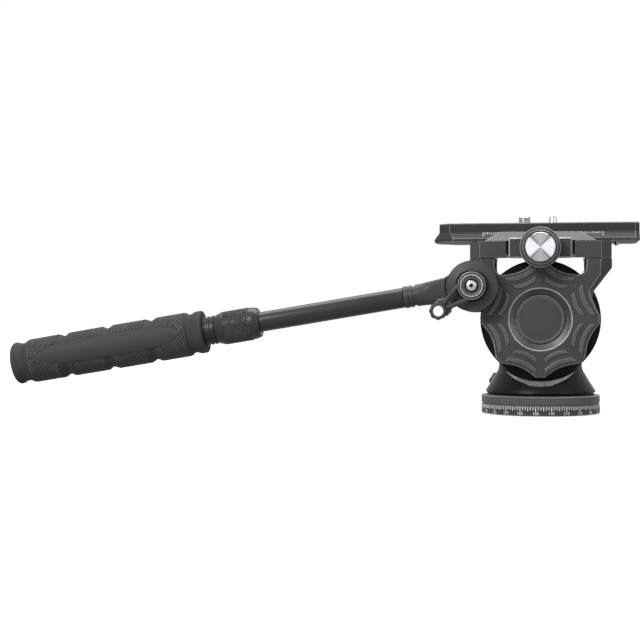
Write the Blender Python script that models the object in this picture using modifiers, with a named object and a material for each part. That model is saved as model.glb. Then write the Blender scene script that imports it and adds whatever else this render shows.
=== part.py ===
"""A fluid video head: round base, pan housing, tilting yoke, plate clamp and a telescopic pan handle.

Metres, +Z up. The origin is the centre of the base's underside, on the pan axis. +X is the lens direction,
the pan handle points to -X, and the tilt axis runs along Y.
"""

import math

import bmesh
import bpy
from mathutils import Matrix, Vector

# Clearances shared by every fit, and the overrun that takes a cutter past the face it cuts.
SEAT = 0.0003
RUNNING = 0.0003
OVERRUN = 0.0020
MERGE = 0.00001

# Steps in one turn of a round piece, by how large it shows.
LARGE, MEDIUM, SMALL, TINY = 44, 26, 16, 10
SHARP = math.radians(32)

# Base plate: foot flange, core and the hollow spindle on it, with the bush for the tripod's screw.
BASE_RADIUS = 0.0300
FOOT_LEDGE = 0.0025
FOOT_RADIUS = BASE_RADIUS - FOOT_LEDGE
FOOT_TOP = 0.0013
FOOT_CHAMFER = 0.0005
RING_WALL = 0.0040
CORE_RADIUS = BASE_RADIUS - RING_WALL
CORE_TOP = 0.0046
THREAD_RADIUS = 0.0041
THREAD_RUN = 0.0035
BUSH_WALL = 0.0021
BUSH_RADIUS = THREAD_RADIUS + BUSH_WALL
BUSH_TOP = 0.0130
THREAD_TOP = BUSH_TOP + THREAD_RUN
SPINDLE_WALL = 0.0018
SPINDLE_RADIUS = BUSH_RADIUS + SPINDLE_WALL
SPINDLE_CAP = 0.0035
SPINDLE_SHOULDER = THREAD_TOP + SPINDLE_CAP

# Degree ring round the base plate.
SCALE_BOTTOM = 0.0004
SCALE_LEDGE = 0.0005
SCALE_TOP = CORE_TOP + SCALE_LEDGE
RING_CHAMFER = 0.0004

# Spring washer and nut on the spindle's neck.
NECK_RADIUS = 0.0050
NECK_END = 0.0005
WASHER_RADIUS = 0.0105
WASHER_HEIGHT = 0.0010
NUT_RADIUS = 0.0092
NUT_HEIGHT = 0.0038
NUT_BORE_GAP = 0.0020
NUT_BORE_RADIUS = WASHER_RADIUS + NUT_BORE_GAP
BORE_FLOOR = SPINDLE_SHOULDER + SEAT
WASHER_BOTTOM = BORE_FLOOR + SEAT
NUT_BOTTOM = WASHER_BOTTOM + WASHER_HEIGHT + SEAT
NECK_TOP = NUT_BOTTOM + NUT_HEIGHT + NECK_END

# Pan ring, the housing's boss inside it, and the thrust bearing under the boss.
PAN_RING_HEIGHT = 0.0043
PAN_RING_WALL = 0.0060
HOUSING_BOTTOM = SCALE_TOP + SEAT
PAN_RING_TOP = HOUSING_BOTTOM + PAN_RING_HEIGHT
BOSS_RADIUS = BASE_RADIUS - PAN_RING_WALL
THRUST_INNER_SHARE = 0.156
THRUST_OUTER_SHARE = 0.719
THRUST_INNER = SPINDLE_RADIUS + (BOSS_RADIUS - SPINDLE_RADIUS) * THRUST_INNER_SHARE
THRUST_OUTER = SPINDLE_RADIUS + (BOSS_RADIUS - SPINDLE_RADIUS) * THRUST_OUTER_SHARE
THRUST_HEIGHT = 0.0012
THRUST_BOTTOM = CORE_TOP + SEAT
THRUST_TOP = THRUST_BOTTOM + THRUST_HEIGHT

# The housing's cone.
SHOULDER_SETBACK = 0.0030
SHOULDER_RADIUS = BASE_RADIUS - SHOULDER_SETBACK
SHOULDER_HEIGHT = 0.0007
SHOULDER_BOTTOM = PAN_RING_TOP + SEAT
SHOULDER_TOP = SHOULDER_BOTTOM + SHOULDER_HEIGHT
CONE_SETBACK = 0.0021
CONE_RADIUS = BASE_RADIUS - CONE_SETBACK
CONE_FOOT = 0.0005
CONE_BOTTOM = SHOULDER_TOP + CONE_FOOT
KNEE_SETBACK = 0.0066
KNEE_RADIUS = CONE_RADIUS - KNEE_SETBACK
KNEE_RISE = 0.0113
KNEE_HEIGHT = CONE_BOTTOM + KNEE_RISE
WAIST_TAPER = 0.0005
CONE_TOP_RADIUS = KNEE_RADIUS - WAIST_TAPER
WAIST_RISE = 0.0075
CONE_TOP = KNEE_HEIGHT + WAIST_RISE

# Tilt drum, whose bore clears the top of the spindle.
DRUM_HALF = 0.0160
DRUM_BORE = 0.0210
DRUM_WALL = 0.0090
DRUM_RADIUS = DRUM_BORE + DRUM_WALL
DRUM_CHAMFER = 0.0008
NECK_GAP = 0.0008
TILT_HEIGHT = NECK_TOP + NECK_GAP + DRUM_BORE

# Drum covers, tilt bearings, axle and the damper's rotor.
COVER_OUTER = DRUM_HALF - SEAT
COVER_HEIGHT = 0.0045
COVER_INNER = COVER_OUTER - COVER_HEIGHT
COVER_LIP = 0.0010
AXLE_RADIUS = 0.0050
AXLE_PROUD = 0.0001
AXLE_HALF = DRUM_HALF + AXLE_PROUD
STUB_RADIUS = 0.0030
BEARING_WALL = 0.0038
BEARING_RADIUS = AXLE_RADIUS + BEARING_WALL
BEARING_HEIGHT = 0.0034
ROTOR_GAP = 0.0015
ROTOR_RADIUS = DRUM_BORE - ROTOR_GAP
ROTOR_HALF = 0.0016
ROTOR_HUB_WALL = 0.0030
ROTOR_HUB_RADIUS = AXLE_RADIUS + ROTOR_HUB_WALL
ROTOR_HUB_GAP = 0.0027
ROTOR_HUB_HALF = COVER_INNER - ROTOR_HUB_GAP
ROTOR_RIM = 0.0030
ROTOR_FIN_OUTER = ROTOR_RADIUS - ROTOR_RIM
ROTOR_FIN_WIDTH = 0.0040
ROTOR_FIN_INNER = ROTOR_FIN_OUTER - ROTOR_FIN_WIDTH
ROTOR_FIN_HALF = 0.0055

# Cheeks: the web-shaped plates each side of the drum.
CHEEK_GAP = 0.0004
CHEEK_INNER = DRUM_HALF + CHEEK_GAP
CHEEK_THICKNESS = 0.0078
CHEEK_FACE = CHEEK_INNER + CHEEK_THICKNESS
CHEEK_BACK = 0.0028
CHEEK_STEP = CHEEK_INNER + CHEEK_BACK
CHEEK_EDGE = 0.0005
WEB_SETBACK = 0.0010
WEB_RADIUS = DRUM_RADIUS - WEB_SETBACK
WEB_SAG = 0.0031
WEB_WAIST = WEB_RADIUS - WEB_SAG
WEB_SECTORS = 8
WEB_FLAT = math.radians(4.5)
WEB_STEPS = 5

# Raised bars between the web's spokes.
BAR_HEIGHT = 0.0008
BAR_SINK = 0.0010
BAR_SLOPE = 0.0004
BAR_STEPS = 4
BAR_GAP = 0.0021
SPOKE_HALF = 0.0019
OUTER_BAR_MARGIN = 0.0015
OUTER_BAR_WAIST = WEB_WAIST - OUTER_BAR_MARGIN
OUTER_BAR_WIDTH = 0.0025
OUTER_BAR_INSIDE = OUTER_BAR_WAIST - OUTER_BAR_WIDTH
INNER_BAR_WAIST = OUTER_BAR_INSIDE - BAR_GAP
INNER_BAR_WIDTH = 0.0023
INNER_BAR_INSIDE = INNER_BAR_WAIST - INNER_BAR_WIDTH

# Dished hub of each cheek, with its cover and the axle nut behind it.
DISH_MARGIN = 0.0022
DISH_RADIUS = INNER_BAR_INSIDE - DISH_MARGIN
DISH_SLOPE = 0.0027
DISH_FLOOR_RADIUS = DISH_RADIUS - DISH_SLOPE
DISH_RIM = 0.0003
DISH_DEPTH = 0.0020
DISH_FLOOR = CHEEK_FACE - DISH_DEPTH
HUB_COVER_HEIGHT = 0.0014
HUB_COVER_CHAMFER = 0.0003
HUB_COVER_GAP = 0.0002
AXLE_NUT_RADIUS = 0.0060
AXLE_NUT_HEIGHT = 0.0010
HUB_FLOOR = DISH_FLOOR - HUB_COVER_HEIGHT - HUB_COVER_GAP - AXLE_NUT_HEIGHT - 2 * SEAT
NEAR_STUB_END = HUB_FLOOR + AXLE_NUT_HEIGHT + HUB_COVER_GAP

# Pockets beside the drum that the cheeks swing in.
POCKET_GAP = 0.0020
POCKET_RADIUS = WEB_RADIUS + POCKET_GAP
POCKET_STEP = 0.0001
POCKET_START = DRUM_HALF + POCKET_STEP
FLARE_INSET = 0.0024
FLARE_DEPTH = 0.0032
FLARE_WIDTH = 0.0023
POCKET_FLARE_START = CHEEK_FACE - FLARE_INSET
POCKET_FLARE_END = POCKET_FLARE_START + FLARE_DEPTH
POCKET_MOUTH_RADIUS = POCKET_RADIUS + FLARE_WIDTH
POCKET_DEPTH = BASE_RADIUS + DRUM_HALF

# Clamp body on top of the two cheeks, just clear of the drum.
CLAMP_GAP = 0.0006
CLAMP_BOTTOM = TILT_HEIGHT + DRUM_RADIUS + CLAMP_GAP
CLAMP_THICKNESS = 0.0083
CLAMP_TOP = CLAMP_BOTTOM + CLAMP_THICKNESS
CLAMP_MIDDLE = (CLAMP_BOTTOM + CLAMP_TOP) / 2
CLAMP_HALF_LENGTH = 0.0350
CLAMP_OVERHANG = 0.0008
CLAMP_HALF_WIDTH = CHEEK_FACE + CLAMP_OVERHANG
CLAMP_CORNER = 0.0051
CLAMP_EDGE = 0.0003

# Arms of the cheeks up to the clamp, and the window between them. Their heights are above the tilt axis.
ARM_TOP = DRUM_RADIUS + CLAMP_GAP - SEAT
ARM_OVERHANG = 0.0002
ARM_TOP_WIDTH = CLAMP_HALF_LENGTH + ARM_OVERHANG
ARM_FACE_SETBACK = 0.0053
ARM_FACE_WIDTH = ARM_TOP_WIDTH - ARM_FACE_SETBACK
ARM_SHOULDER_DROP = 0.0046
ARM_SHOULDER_HEIGHT = ARM_TOP - ARM_SHOULDER_DROP
ARM_FACE_LEAN = 0.0003
ARM_FACE_SHOULDER_WIDTH = ARM_FACE_WIDTH - ARM_FACE_LEAN
ARM_FACE_SHOULDER_DROP = 0.0078
ARM_FACE_SHOULDER_HEIGHT = ARM_TOP - ARM_FACE_SHOULDER_DROP
ARM_WAIST_SETBACK = 0.0028
ARM_WAIST_WIDTH = WEB_RADIUS - ARM_WAIST_SETBACK
ARM_WAIST_HEIGHT = 0.0139
ARM_FACE_WAIST_SETBACK = 0.0049
ARM_FACE_WAIST_WIDTH = WEB_RADIUS - ARM_FACE_WAIST_SETBACK
ARM_FACE_WAIST_HEIGHT = 0.0143
ARM_ROOT_SETBACK = 0.0034
ARM_ROOT_WIDTH = WEB_RADIUS - ARM_ROOT_SETBACK
ARM_FACE_ROOT_SETBACK = 0.0044
ARM_FACE_ROOT_WIDTH = WEB_RADIUS - ARM_FACE_ROOT_SETBACK
ARM_ROOT_HEIGHT = 0.0106
WINDOW_HALF = 0.0227
WINDOW_CORNER = 0.0043
WINDOW_CORNER_DROP = 0.0038
WINDOW_CORNER_HEIGHT = ARM_TOP - WINDOW_CORNER_DROP
WINDOW_CORNER_STEPS = 4

# Boss on the near cheek that carries the pan handle. Its height is above the tilt axis.
BOSS_WAIST_RADIUS = 0.0126
BOSS_HEADROOM = 0.0015
BOSS_OUTSET = 0.0043
ROSETTE_X = -WEB_RADIUS - BOSS_OUTSET
ROSETTE_HEIGHT = DRUM_RADIUS + CLAMP_GAP - BOSS_WAIST_RADIUS - BOSS_HEADROOM
BOSS_RISE = 0.0027
BOSS_FACE = CHEEK_FACE + BOSS_RISE
BOSS_FACE_EDGE = 0.0004
BOSS_STEP = 0.0003
BOSS_SWEEP = CHEEK_FACE + BOSS_STEP
BOSS_FLARE = 0.0012
BOSS_ROOT_RADIUS = BOSS_WAIST_RADIUS + BOSS_FLARE
BOSS_ROOT_SHIFT_X = 0.0013
BOSS_ROOT_SHIFT_Z = -0.0015

# Quick release plate: a dovetail flange under a narrower slab.
PLATE_REAR = -0.0500
PLATE_FRONT = 0.0490
TONGUE = 0.0036
FLANGE_REAR = PLATE_REAR - TONGUE
FLANGE_GAP = 0.0005
FLANGE_BOTTOM = CLAMP_TOP + FLANGE_GAP
FLANGE_THICKNESS = 0.0013
FLANGE_TOP = FLANGE_BOTTOM + FLANGE_THICKNESS
LIP_THICKNESS = 0.0060
FLANGE_HALF = CLAMP_HALF_WIDTH - LIP_THICKNESS
FLANGE_CORNER = 0.0085
BEVEL_HEIGHT = 0.0034
BEVEL_WIDTH = 0.0032
SLAB_BOTTOM = FLANGE_TOP + BEVEL_HEIGHT
SLAB_THICKNESS = 0.0046
SLAB_TOP = SLAB_BOTTOM + SLAB_THICKNESS
SLAB_HALF = FLANGE_HALF - BEVEL_WIDTH
SLAB_CORNER = 0.0040
SLAB_EDGE = 0.0004
FRONT_CORNER = 0.0022
PAD_HALF_LENGTH = 0.0350
PAD_MARGIN = 0.0030
PAD_HALF_WIDTH = SLAB_HALF - PAD_MARGIN
PAD_CORNER = 0.0020
PAD_HEIGHT = 0.0006
PAD_SINK = 0.0004

# Camera screw in its slot, video pin and the sprung stop pin in front of the clamp.
SCREW_X = -0.0080
SCREW_RADIUS = 0.0031
SCREW_ROOT_RADIUS = 0.0027
SCREW_RISE = 0.0042
SCREW_PITCH = 0.0013
SCREW_HEAD_RADIUS = 0.0068
SCREW_HEAD_HEIGHT = 0.0021
SLOT_HALF = 0.0040
SLOT_STEPS = 8
PIN_X = 0.0064
PIN_RADIUS = 0.0024
PIN_TIP_RADIUS = 0.0019
PIN_RISE = 0.0040
PIN_TRAVEL = 0.0035
PIN_GAP = 0.0013
PIN_BOTTOM = FLANGE_BOTTOM + PIN_TRAVEL + PIN_GAP
STOP_GAP = 0.0034
STOP_X = CLAMP_HALF_LENGTH + STOP_GAP
STOP_RADIUS = 0.00115
STOP_DROP = 0.0017
STOP_DEPTH = 0.0041
STOP_TOP = FLANGE_BOTTOM + STOP_DEPTH
STOP_TRAVEL = 0.0015
STOP_EDGE = 0.0003

# Clamp lips: the fixed one on the far side and the sliding jaw on the near side.
LIP_INSET = 0.0072
LIP_FOOT_HALF = CLAMP_HALF_LENGTH - LIP_INSET
LIP_LEAN = 0.0078
LIP_CREST_HALF = LIP_FOOT_HALF - LIP_LEAN
LIP_CREST_WIDTH = 0.0015
LIP_RISE = 0.0033
LIP_CREST = FLANGE_TOP + LIP_RISE
JAW_BLOCK_HALF = 0.0156
JAW_SLOT = 0.0015
JAW_DEPTH = CLAMP_HALF_WIDTH - FLANGE_HALF - 2 * SEAT

# Clamp screw, its knob with the spun disc, and the jaw's guide pins.
KNOB_OFFSET = 0.00055
KNOB_HEIGHT = CLAMP_MIDDLE + KNOB_OFFSET
CLAMP_SCREW_RADIUS = 0.0030
CLAMP_SCREW_INNER = 0.0080
KNOB_GAP = 0.0012
KNOB_BACK = CLAMP_HALF_WIDTH + KNOB_GAP
KNOB_LENGTH = 0.0121
KNOB_FRONT = KNOB_BACK + KNOB_LENGTH
KNOB_RADIUS = 0.0100
KNOB_BEZEL = 0.0016
KNOB_RIM_RADIUS = KNOB_RADIUS - KNOB_BEZEL
KNOB_CHAMFER = 0.0009
KNOB_COLLAR_RADIUS = 0.0065
KNOB_COLLAR = 0.0010
KNOB_RECESS = 0.0012
DISC_MARGIN = 0.0011
DISC_RADIUS = KNOB_RIM_RADIUS - DISC_MARGIN
DISC_RISE = 0.0004
GUIDE_RADIUS = 0.0014
GUIDE_INSET = 0.0046
GUIDE_X = JAW_BLOCK_HALF - GUIDE_INSET
GUIDE_INNER = 0.0110

# Socket screws that hold the clamp body on the cheeks.
BOLT_INSET = 0.0042
BOLT_X = CLAMP_HALF_LENGTH - BOLT_INSET
BOLT_SETBACK = 0.0022
BOLT_Y = CHEEK_INNER + BOLT_SETBACK
BOLT_HEAD_RADIUS = 0.0026
BOLT_HEAD_HEIGHT = 0.0026
BOLT_RADIUS = 0.0015
BOLT_LENGTH = 0.0120
BOLT_SOCKET_RADIUS = 0.0014
BOLT_SOCKET_DEPTH = 0.0015
BOLT_SINK = 0.0005

# Handle stud, and the arm that turns on it: eye, arm and ferrule. Lengths run along the handle from the eye.
STUD_RADIUS = 0.0030
STUD_SETBACK = 0.0021
STUD_START = CHEEK_INNER + STUD_SETBACK
HANDLE_DROP = math.radians(9.5)
EYE_RADIUS = BOSS_WAIST_RADIUS
EYE_HALF = 0.0041
EYE_EDGE = 0.0006
EYE_BORE = STUD_RADIUS + RUNNING
HANDLE_Y = -BOSS_FACE - SEAT - EYE_HALF
ARM_HALF = 0.0062
ARM_FILLET = 0.0060
ARM_FILLET_STEPS = 3
ARM_END_HALF = 0.0056
TUBE_RADIUS = 0.0050
FERRULE_WALL = 0.00045
FERRULE_RADIUS = TUBE_RADIUS + FERRULE_WALL
FERRULE_ROOT = 0.0190
FERRULE_ROOT_RADIUS = 0.0038
FERRULE_TAPER = 0.0045
FERRULE_START = FERRULE_ROOT + FERRULE_TAPER
ARM_LAP = 0.0005
ARM_END = FERRULE_START + ARM_LAP
FERRULE_GROOVE_SETBACK = 0.0065
FERRULE_GROOVE = FERRULE_START + FERRULE_GROOVE_SETBACK
FERRULE_GROOVE_WIDTH = 0.0006
FERRULE_GROOVE_DEPTH = 0.00045
FERRULE_GROOVE_RADIUS = FERRULE_RADIUS - FERRULE_GROOVE_DEPTH
FERRULE_RIM = 0.0043
FERRULE_END = FERRULE_GROOVE + FERRULE_RIM

# Handle tube on the ferrule's spigot.
TUBE_WALL = 0.0009
TUBE_BORE = TUBE_RADIUS - TUBE_WALL
SPIGOT_RADIUS = TUBE_BORE - SEAT
SPIGOT_LENGTH = 0.0117
SPIGOT_END = FERRULE_END + SPIGOT_LENGTH
COLLAR_START = 0.1083
TUBE_OVERLAP = 0.0467
TUBE_END = COLLAR_START + TUBE_OVERLAP

# Extension collar and its collet.
THREAD_WALL = 0.0012
SLEEVE_THREAD_RADIUS = TUBE_RADIUS + THREAD_WALL
COLLAR_WALL = 0.0022
COLLAR_RADIUS = SLEEVE_THREAD_RADIUS + COLLAR_WALL
COLLAR_BAND_DEPTH = 0.0003
COLLAR_BAND_RADIUS = COLLAR_RADIUS - COLLAR_BAND_DEPTH
COLLAR_NOSE_DEPTH = 0.0010
COLLAR_NOSE_RADIUS = COLLAR_RADIUS - COLLAR_NOSE_DEPTH
COLLAR_TAIL_DEPTH = 0.0014
COLLAR_TAIL_RADIUS = COLLAR_RADIUS - COLLAR_TAIL_DEPTH
COLLAR_NOSE = 0.0027
COLLAR_BAND_START = COLLAR_START + COLLAR_NOSE
COLLAR_BAND = 0.0022
COLLAR_BAND_END = COLLAR_BAND_START + COLLAR_BAND
COLLAR_GRIP = 0.0138
COLLAR_TAPER = COLLAR_BAND_END + COLLAR_GRIP
COLLAR_TAIL = 0.0040
COLLAR_END = COLLAR_TAPER + COLLAR_TAIL
COLLAR_LIP = 0.0020
COLLET_LENGTH = 0.0072
COLLET_SLIT_HALF = 0.0004

# Grip sleeve with its ribbed neck.
SLEEVE_GAP = 0.0007
SLEEVE_START = COLLAR_START + COLLAR_LIP + SEAT + COLLET_LENGTH + SLEEVE_GAP
SLEEVE_WALL = 0.0014
SLEEVE_RADIUS = SLEEVE_THREAD_RADIUS + SLEEVE_WALL
NECK_INSET = 0.0004
NECK_START = COLLAR_END + NECK_INSET
NECK_OUTER = SLEEVE_RADIUS - SEAT
NECK_GROOVE_DEPTH = 0.0005
NECK_GROOVE = NECK_OUTER - NECK_GROOVE_DEPTH
NECK_RIBS = 3
NECK_LENGTH = 0.0055

# Rubber grip.
GRIP_WALL = 0.0036
GRIP_RADIUS = SLEEVE_RADIUS + GRIP_WALL
GRIP_FLANGE_DEPTH = 0.0004
GRIP_FLANGE_RADIUS = GRIP_RADIUS - GRIP_FLANGE_DEPTH
GRIP_GROOVE_DEPTH = 0.0013
GRIP_GROOVE_RADIUS = GRIP_RADIUS - GRIP_GROOVE_DEPTH
GRIP_ROUND = 0.0009
GRIP_START = NECK_START + NECK_LENGTH
GRIP_FLANGE = 0.0045
GRIP_FLANGE_END = GRIP_START + GRIP_FLANGE
GRIP_GROOVE = 0.0041
GRIP_BODY_START = GRIP_FLANGE_END + GRIP_GROOVE
GRIP_BODY = 0.0848
GRIP_BODY_END = GRIP_BODY_START + GRIP_BODY
GRIP_END_GROOVE = 0.0045
GRIP_END_FLANGE = GRIP_BODY_END + GRIP_END_GROOVE
GRIP_END = GRIP_END_FLANGE + GRIP_FLANGE
GRIP_DOME = 0.0012
GRIP_CAP = 0.0059
SLEEVE_END = GRIP_END - GRIP_CAP
NOTCH_COUNT = 3
NOTCH_INSET = 0.0185
FIRST_NOTCH = GRIP_BODY_START + NOTCH_INSET
NOTCH_PITCH = 0.0233
NOTCH_DEPTH = 0.0012
NOTCH_RADIUS = 0.0032

# Handle lock lever: hub, two bars and a finger ring.
LEVER_BACK = BOSS_FACE + 2 * EYE_HALF + 2 * SEAT
LEVER_THICKNESS = 0.0045
LEVER_FRONT = LEVER_BACK + LEVER_THICKNESS
LEVER_RADIUS = 0.0080
LEVER_RIM = 0.0012
LEVER_STEP_RADIUS = LEVER_RADIUS - LEVER_RIM
LEVER_STEP = 0.0008
LEVER_DISH_RADIUS = 0.0052
LEVER_DISH = 0.0008
LEVER_CAP_RADIUS = 0.0026
LEVER_CAP_RISE = 0.0010
LEVER_CAP_FRONT = LEVER_FRONT + LEVER_CAP_RISE
LEVER_STUD_DEPTH = 0.0030
STUD_GAP = 0.0002
STUD_END = LEVER_BACK + LEVER_STUD_DEPTH - STUD_GAP
FINGER_X = -0.0164
FINGER_Z = -0.0124
FINGER_RADIUS = 0.0044
FINGER_LOBE = 0.0003
FINGER_LOBES = 9
FINGER_LOBE_STEPS = 4
FINGER_HOLE = 0.00275
FINGER_HALF = 0.0014
LEVER_BAR_RADIUS = 0.0012
LEVER_BAR_SPREAD = 0.0042
LEVER_BAR_NECK = 0.0026
LEVER_COLLAR_RADIUS = 0.0020
LEVER_COLLAR_LENGTH = 0.0012

# Tilt lock on the far hub.
TILT_KNOB_RADIUS = 0.0115
TILT_KNOB_LOBE = 0.0007
TILT_KNOB_LOBES = 8
TILT_KNOB_LOBE_STEPS = 6
TILT_KNOB_GAP = 0.0012
TILT_KNOB_BACK = CHEEK_FACE + BAR_HEIGHT + TILT_KNOB_GAP
TILT_KNOB_LENGTH = 0.0090
TILT_KNOB_FRONT = TILT_KNOB_BACK + TILT_KNOB_LENGTH
TILT_KNOB_EDGE = 0.0010
TILT_KNOB_DIMPLE = 0.0060
TILT_KNOB_DIMPLE_DEPTH = 0.0012
TILT_HUB_MARGIN = 0.0041
TILT_HUB_RADIUS = DISH_FLOOR_RADIUS - TILT_HUB_MARGIN
TILT_WASHER_MARGIN = 0.0036
TILT_WASHER_RADIUS = DISH_FLOOR_RADIUS - TILT_WASHER_MARGIN
TILT_WASHER_HEIGHT = 0.0008
FAR_STUB_DEPTH = 0.0038
FAR_STUB_END = TILT_KNOB_BACK + FAR_STUB_DEPTH

# Pan lock behind the cone.
PAN_LOCK_TURN = math.radians(125)
PAN_LOCK_RISE = 0.0033
PAN_LOCK_HEIGHT = CONE_BOTTOM + PAN_LOCK_RISE
PAN_LOCK_SCREW_RADIUS = 0.0020
PAN_LOCK_SCREW_START = SPINDLE_RADIUS + RUNNING + SEAT
PAN_LOCK_GAP = 0.0031
PAN_LOCK_KNOB_START = CONE_RADIUS + PAN_LOCK_GAP
PAN_LOCK_KNOB_LENGTH = 0.0095
PAN_LOCK_KNOB_END = PAN_LOCK_KNOB_START + PAN_LOCK_KNOB_LENGTH
PAN_LOCK_SCREW_END = PAN_LOCK_KNOB_START + PAN_LOCK_KNOB_LENGTH / 2
PAN_LOCK_KNOB_RADIUS = 0.0052
PAN_LOCK_LOBE = 0.0003
PAN_LOCK_LOBES = 7
PAN_LOCK_LOBE_STEPS = 4
PAN_LOCK_EDGE = 0.0006

# Finishes: linear colour, roughness, metallic.
BLACK_METAL = ((0.045, 0.045, 0.048), 0.42, 0.55)
GREY_METAL = ((0.062, 0.063, 0.066), 0.40, 0.55)
STEEL = ((0.52, 0.52, 0.53), 0.28, 1.0)
SPUN = ((0.75, 0.75, 0.76), 0.20, 1.0)
BRONZE = ((0.42, 0.27, 0.12), 0.35, 1.0)
RUBBER = ((0.028, 0.028, 0.030), 0.80, 0.0)
NYLON = ((0.10, 0.10, 0.10), 0.55, 0.0)

NEAR = Matrix.Rotation(math.pi / 2, 4, "X")
FAR = Matrix.Rotation(-math.pi / 2, 4, "X")
TILT = Matrix.Translation((0, 0, TILT_HEIGHT))
ROSETTE = Vector((ROSETTE_X, 0, TILT_HEIGHT + ROSETTE_HEIGHT))
LEVER_AXIS = Matrix.Translation(ROSETTE) @ NEAR
HANDLE = Matrix.Translation((ROSETTE_X, HANDLE_Y, ROSETTE.z)) @ Matrix.Rotation(
    -math.pi / 2 - HANDLE_DROP, 4, "Y"
)


def new_collection(name):
    group = bpy.data.collections.new(name)
    bpy.context.scene.collection.children.link(group)
    return group


def clear_scene():
    for obj in list(bpy.data.objects):
        bpy.data.objects.remove(obj)


clear_scene()
HEAD = new_collection("fluid_video_head")
CUTTERS = new_collection("cutters")


def new_object(name, mesh, matrix):
    obj = bpy.data.objects.new(name, mesh)
    obj.matrix_world = matrix
    return obj


def turned(name, profile, steps, matrix=Matrix(), closed=False):
    """A profile of (radius, height) points, given down its outer side, turned about its local Z axis."""
    mesh = bpy.data.meshes.new(name)
    edges = [(i, i + 1) for i in range(len(profile) - 1)]
    if closed:
        edges.append((len(profile) - 1, 0))
    mesh.from_pydata([(radius, 0, height) for radius, height in profile], edges, [])
    obj = new_object(name, mesh, matrix)
    screw = obj.modifiers.new("Turn", "SCREW")
    screw.steps = steps
    screw.render_steps = steps
    screw.use_merge_vertices = True
    screw.merge_threshold = MERGE
    return obj


def rod(name, radius, low, high, steps, matrix=Matrix()):
    """A plain cylinder along its local Z axis."""
    return turned(name, [(0, high), (radius, high), (radius, low), (0, low)], steps, matrix)


def sleeve(name, inner, outer, low, high, steps, matrix=Matrix()):
    """A plain ring along its local Z axis."""
    profile = [(inner, high), (outer, high), (outer, low), (inner, low)]
    return turned(name, profile, steps, matrix, closed=True)


def lofted(name, sections, matrix=Matrix()):
    """A closed skin over sections that have the same number of points, with flat ends."""
    work = bmesh.new()
    rings = [[work.verts.new(point) for point in section] for section in sections]
    for lower, upper in zip(rings, rings[1:]):
        for i in range(len(lower)):
            work.faces.new((lower[i - 1], lower[i], upper[i], upper[i - 1]))
    work.faces.new(rings[0])
    work.faces.new(rings[-1])
    bmesh.ops.recalc_face_normals(work, faces=work.faces)
    mesh = bpy.data.meshes.new(name)
    work.to_mesh(mesh)
    work.free()
    return new_object(name, mesh, matrix)


def box(name, low, high):
    """A block between two opposite corners."""
    work = bmesh.new()
    bmesh.ops.create_cube(work, size=1)
    size = [top - bottom for bottom, top in zip(low, high)]
    middle = [(top + bottom) / 2 for bottom, top in zip(low, high)]
    bmesh.ops.scale(work, vec=size, verts=work.verts)
    bmesh.ops.translate(work, vec=middle, verts=work.verts)
    mesh = bpy.data.meshes.new(name)
    work.to_mesh(mesh)
    work.free()
    return new_object(name, mesh, Matrix())


def extruded(name, outlines, low, high, matrix=Matrix()):
    """A flat outline, with any further outlines as holes, extruded along its local Z axis."""
    curve = bpy.data.curves.new(name, "CURVE")
    curve.dimensions = "2D"
    curve.fill_mode = "BOTH"
    curve.extrude = (high - low) / 2
    for outline in outlines:
        spline = curve.splines.new("POLY")
        spline.points.add(len(outline) - 1)
        for point, (x, y) in zip(spline.points, outline):
            point.co = (x, y, 0, 1)
        spline.use_cyclic_u = True
    guide = new_object(name, curve, Matrix())
    CUTTERS.objects.link(guide)
    graph = bpy.context.evaluated_depsgraph_get()
    mesh = bpy.data.meshes.new_from_object(guide.evaluated_get(graph))
    bpy.data.objects.remove(guide)
    work = bmesh.new()
    work.from_mesh(mesh)
    bmesh.ops.remove_doubles(work, verts=work.verts, dist=MERGE)
    bmesh.ops.recalc_face_normals(work, faces=work.faces)
    work.to_mesh(mesh)
    work.free()
    return new_object(name, mesh, matrix @ Matrix.Translation((0, 0, (low + high) / 2)))


def tool(obj):
    """Puts a helper among the cutters, where it shows as a wire and isn't a part."""
    CUTTERS.objects.link(obj)
    obj.hide_render = True
    obj.display_type = "WIRE"
    return obj


def change(obj, helper, operation):
    step = obj.modifiers.new(helper.name, "BOOLEAN")
    step.operation = operation
    step.solver = "EXACT"
    step.object = tool(helper)


def cut(obj, *helpers):
    for helper in helpers:
        change(obj, helper, "DIFFERENCE")


def fuse(obj, *helpers):
    for helper in helpers:
        change(obj, helper, "UNION")


def polar(radius, turn):
    return radius * math.cos(turn), radius * math.sin(turn)


def circle(radius, steps, x=0, y=0):
    return [
        (x + radius * math.cos(turn), y + radius * math.sin(turn))
        for turn in (2 * math.pi * i / steps for i in range(steps))
    ]


def lobed(radius, lobe, lobes, per_lobe):
    """A round outline with evenly spaced grip lobes."""
    steps = lobes * per_lobe
    turns = [2 * math.pi * i / steps for i in range(steps)]
    return [polar(radius + lobe * math.cos(lobes * turn), turn) for turn in turns]


def bezel(outline, amount):
    """The outline moved inwards by the amount, corner by corner."""
    moved = []
    for i, (x, y) in enumerate(outline):
        before = Vector(outline[i - 1])
        here = Vector((x, y))
        after = Vector(outline[(i + 1) % len(outline)])
        into = (here - before).normalized()
        out = (after - here).normalized()
        normal = Vector((-into.y - out.y, into.x + out.x)).normalized()
        lean = max(normal.dot(Vector((-into.y, into.x))), 0.5)
        moved.append(tuple(here + normal * (amount / lean)))
    return moved


def chamfered_rectangle(left, right, half, left_cut, right_cut):
    """A rectangle with its corners cut, counter-clockwise from the lower left."""
    return [
        (left, -half + left_cut),
        (left + left_cut, -half),
        (right - right_cut, -half),
        (right, -half + right_cut),
        (right, half - right_cut),
        (right - right_cut, half),
        (left + left_cut, half),
        (left, half - left_cut),
    ]


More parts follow.
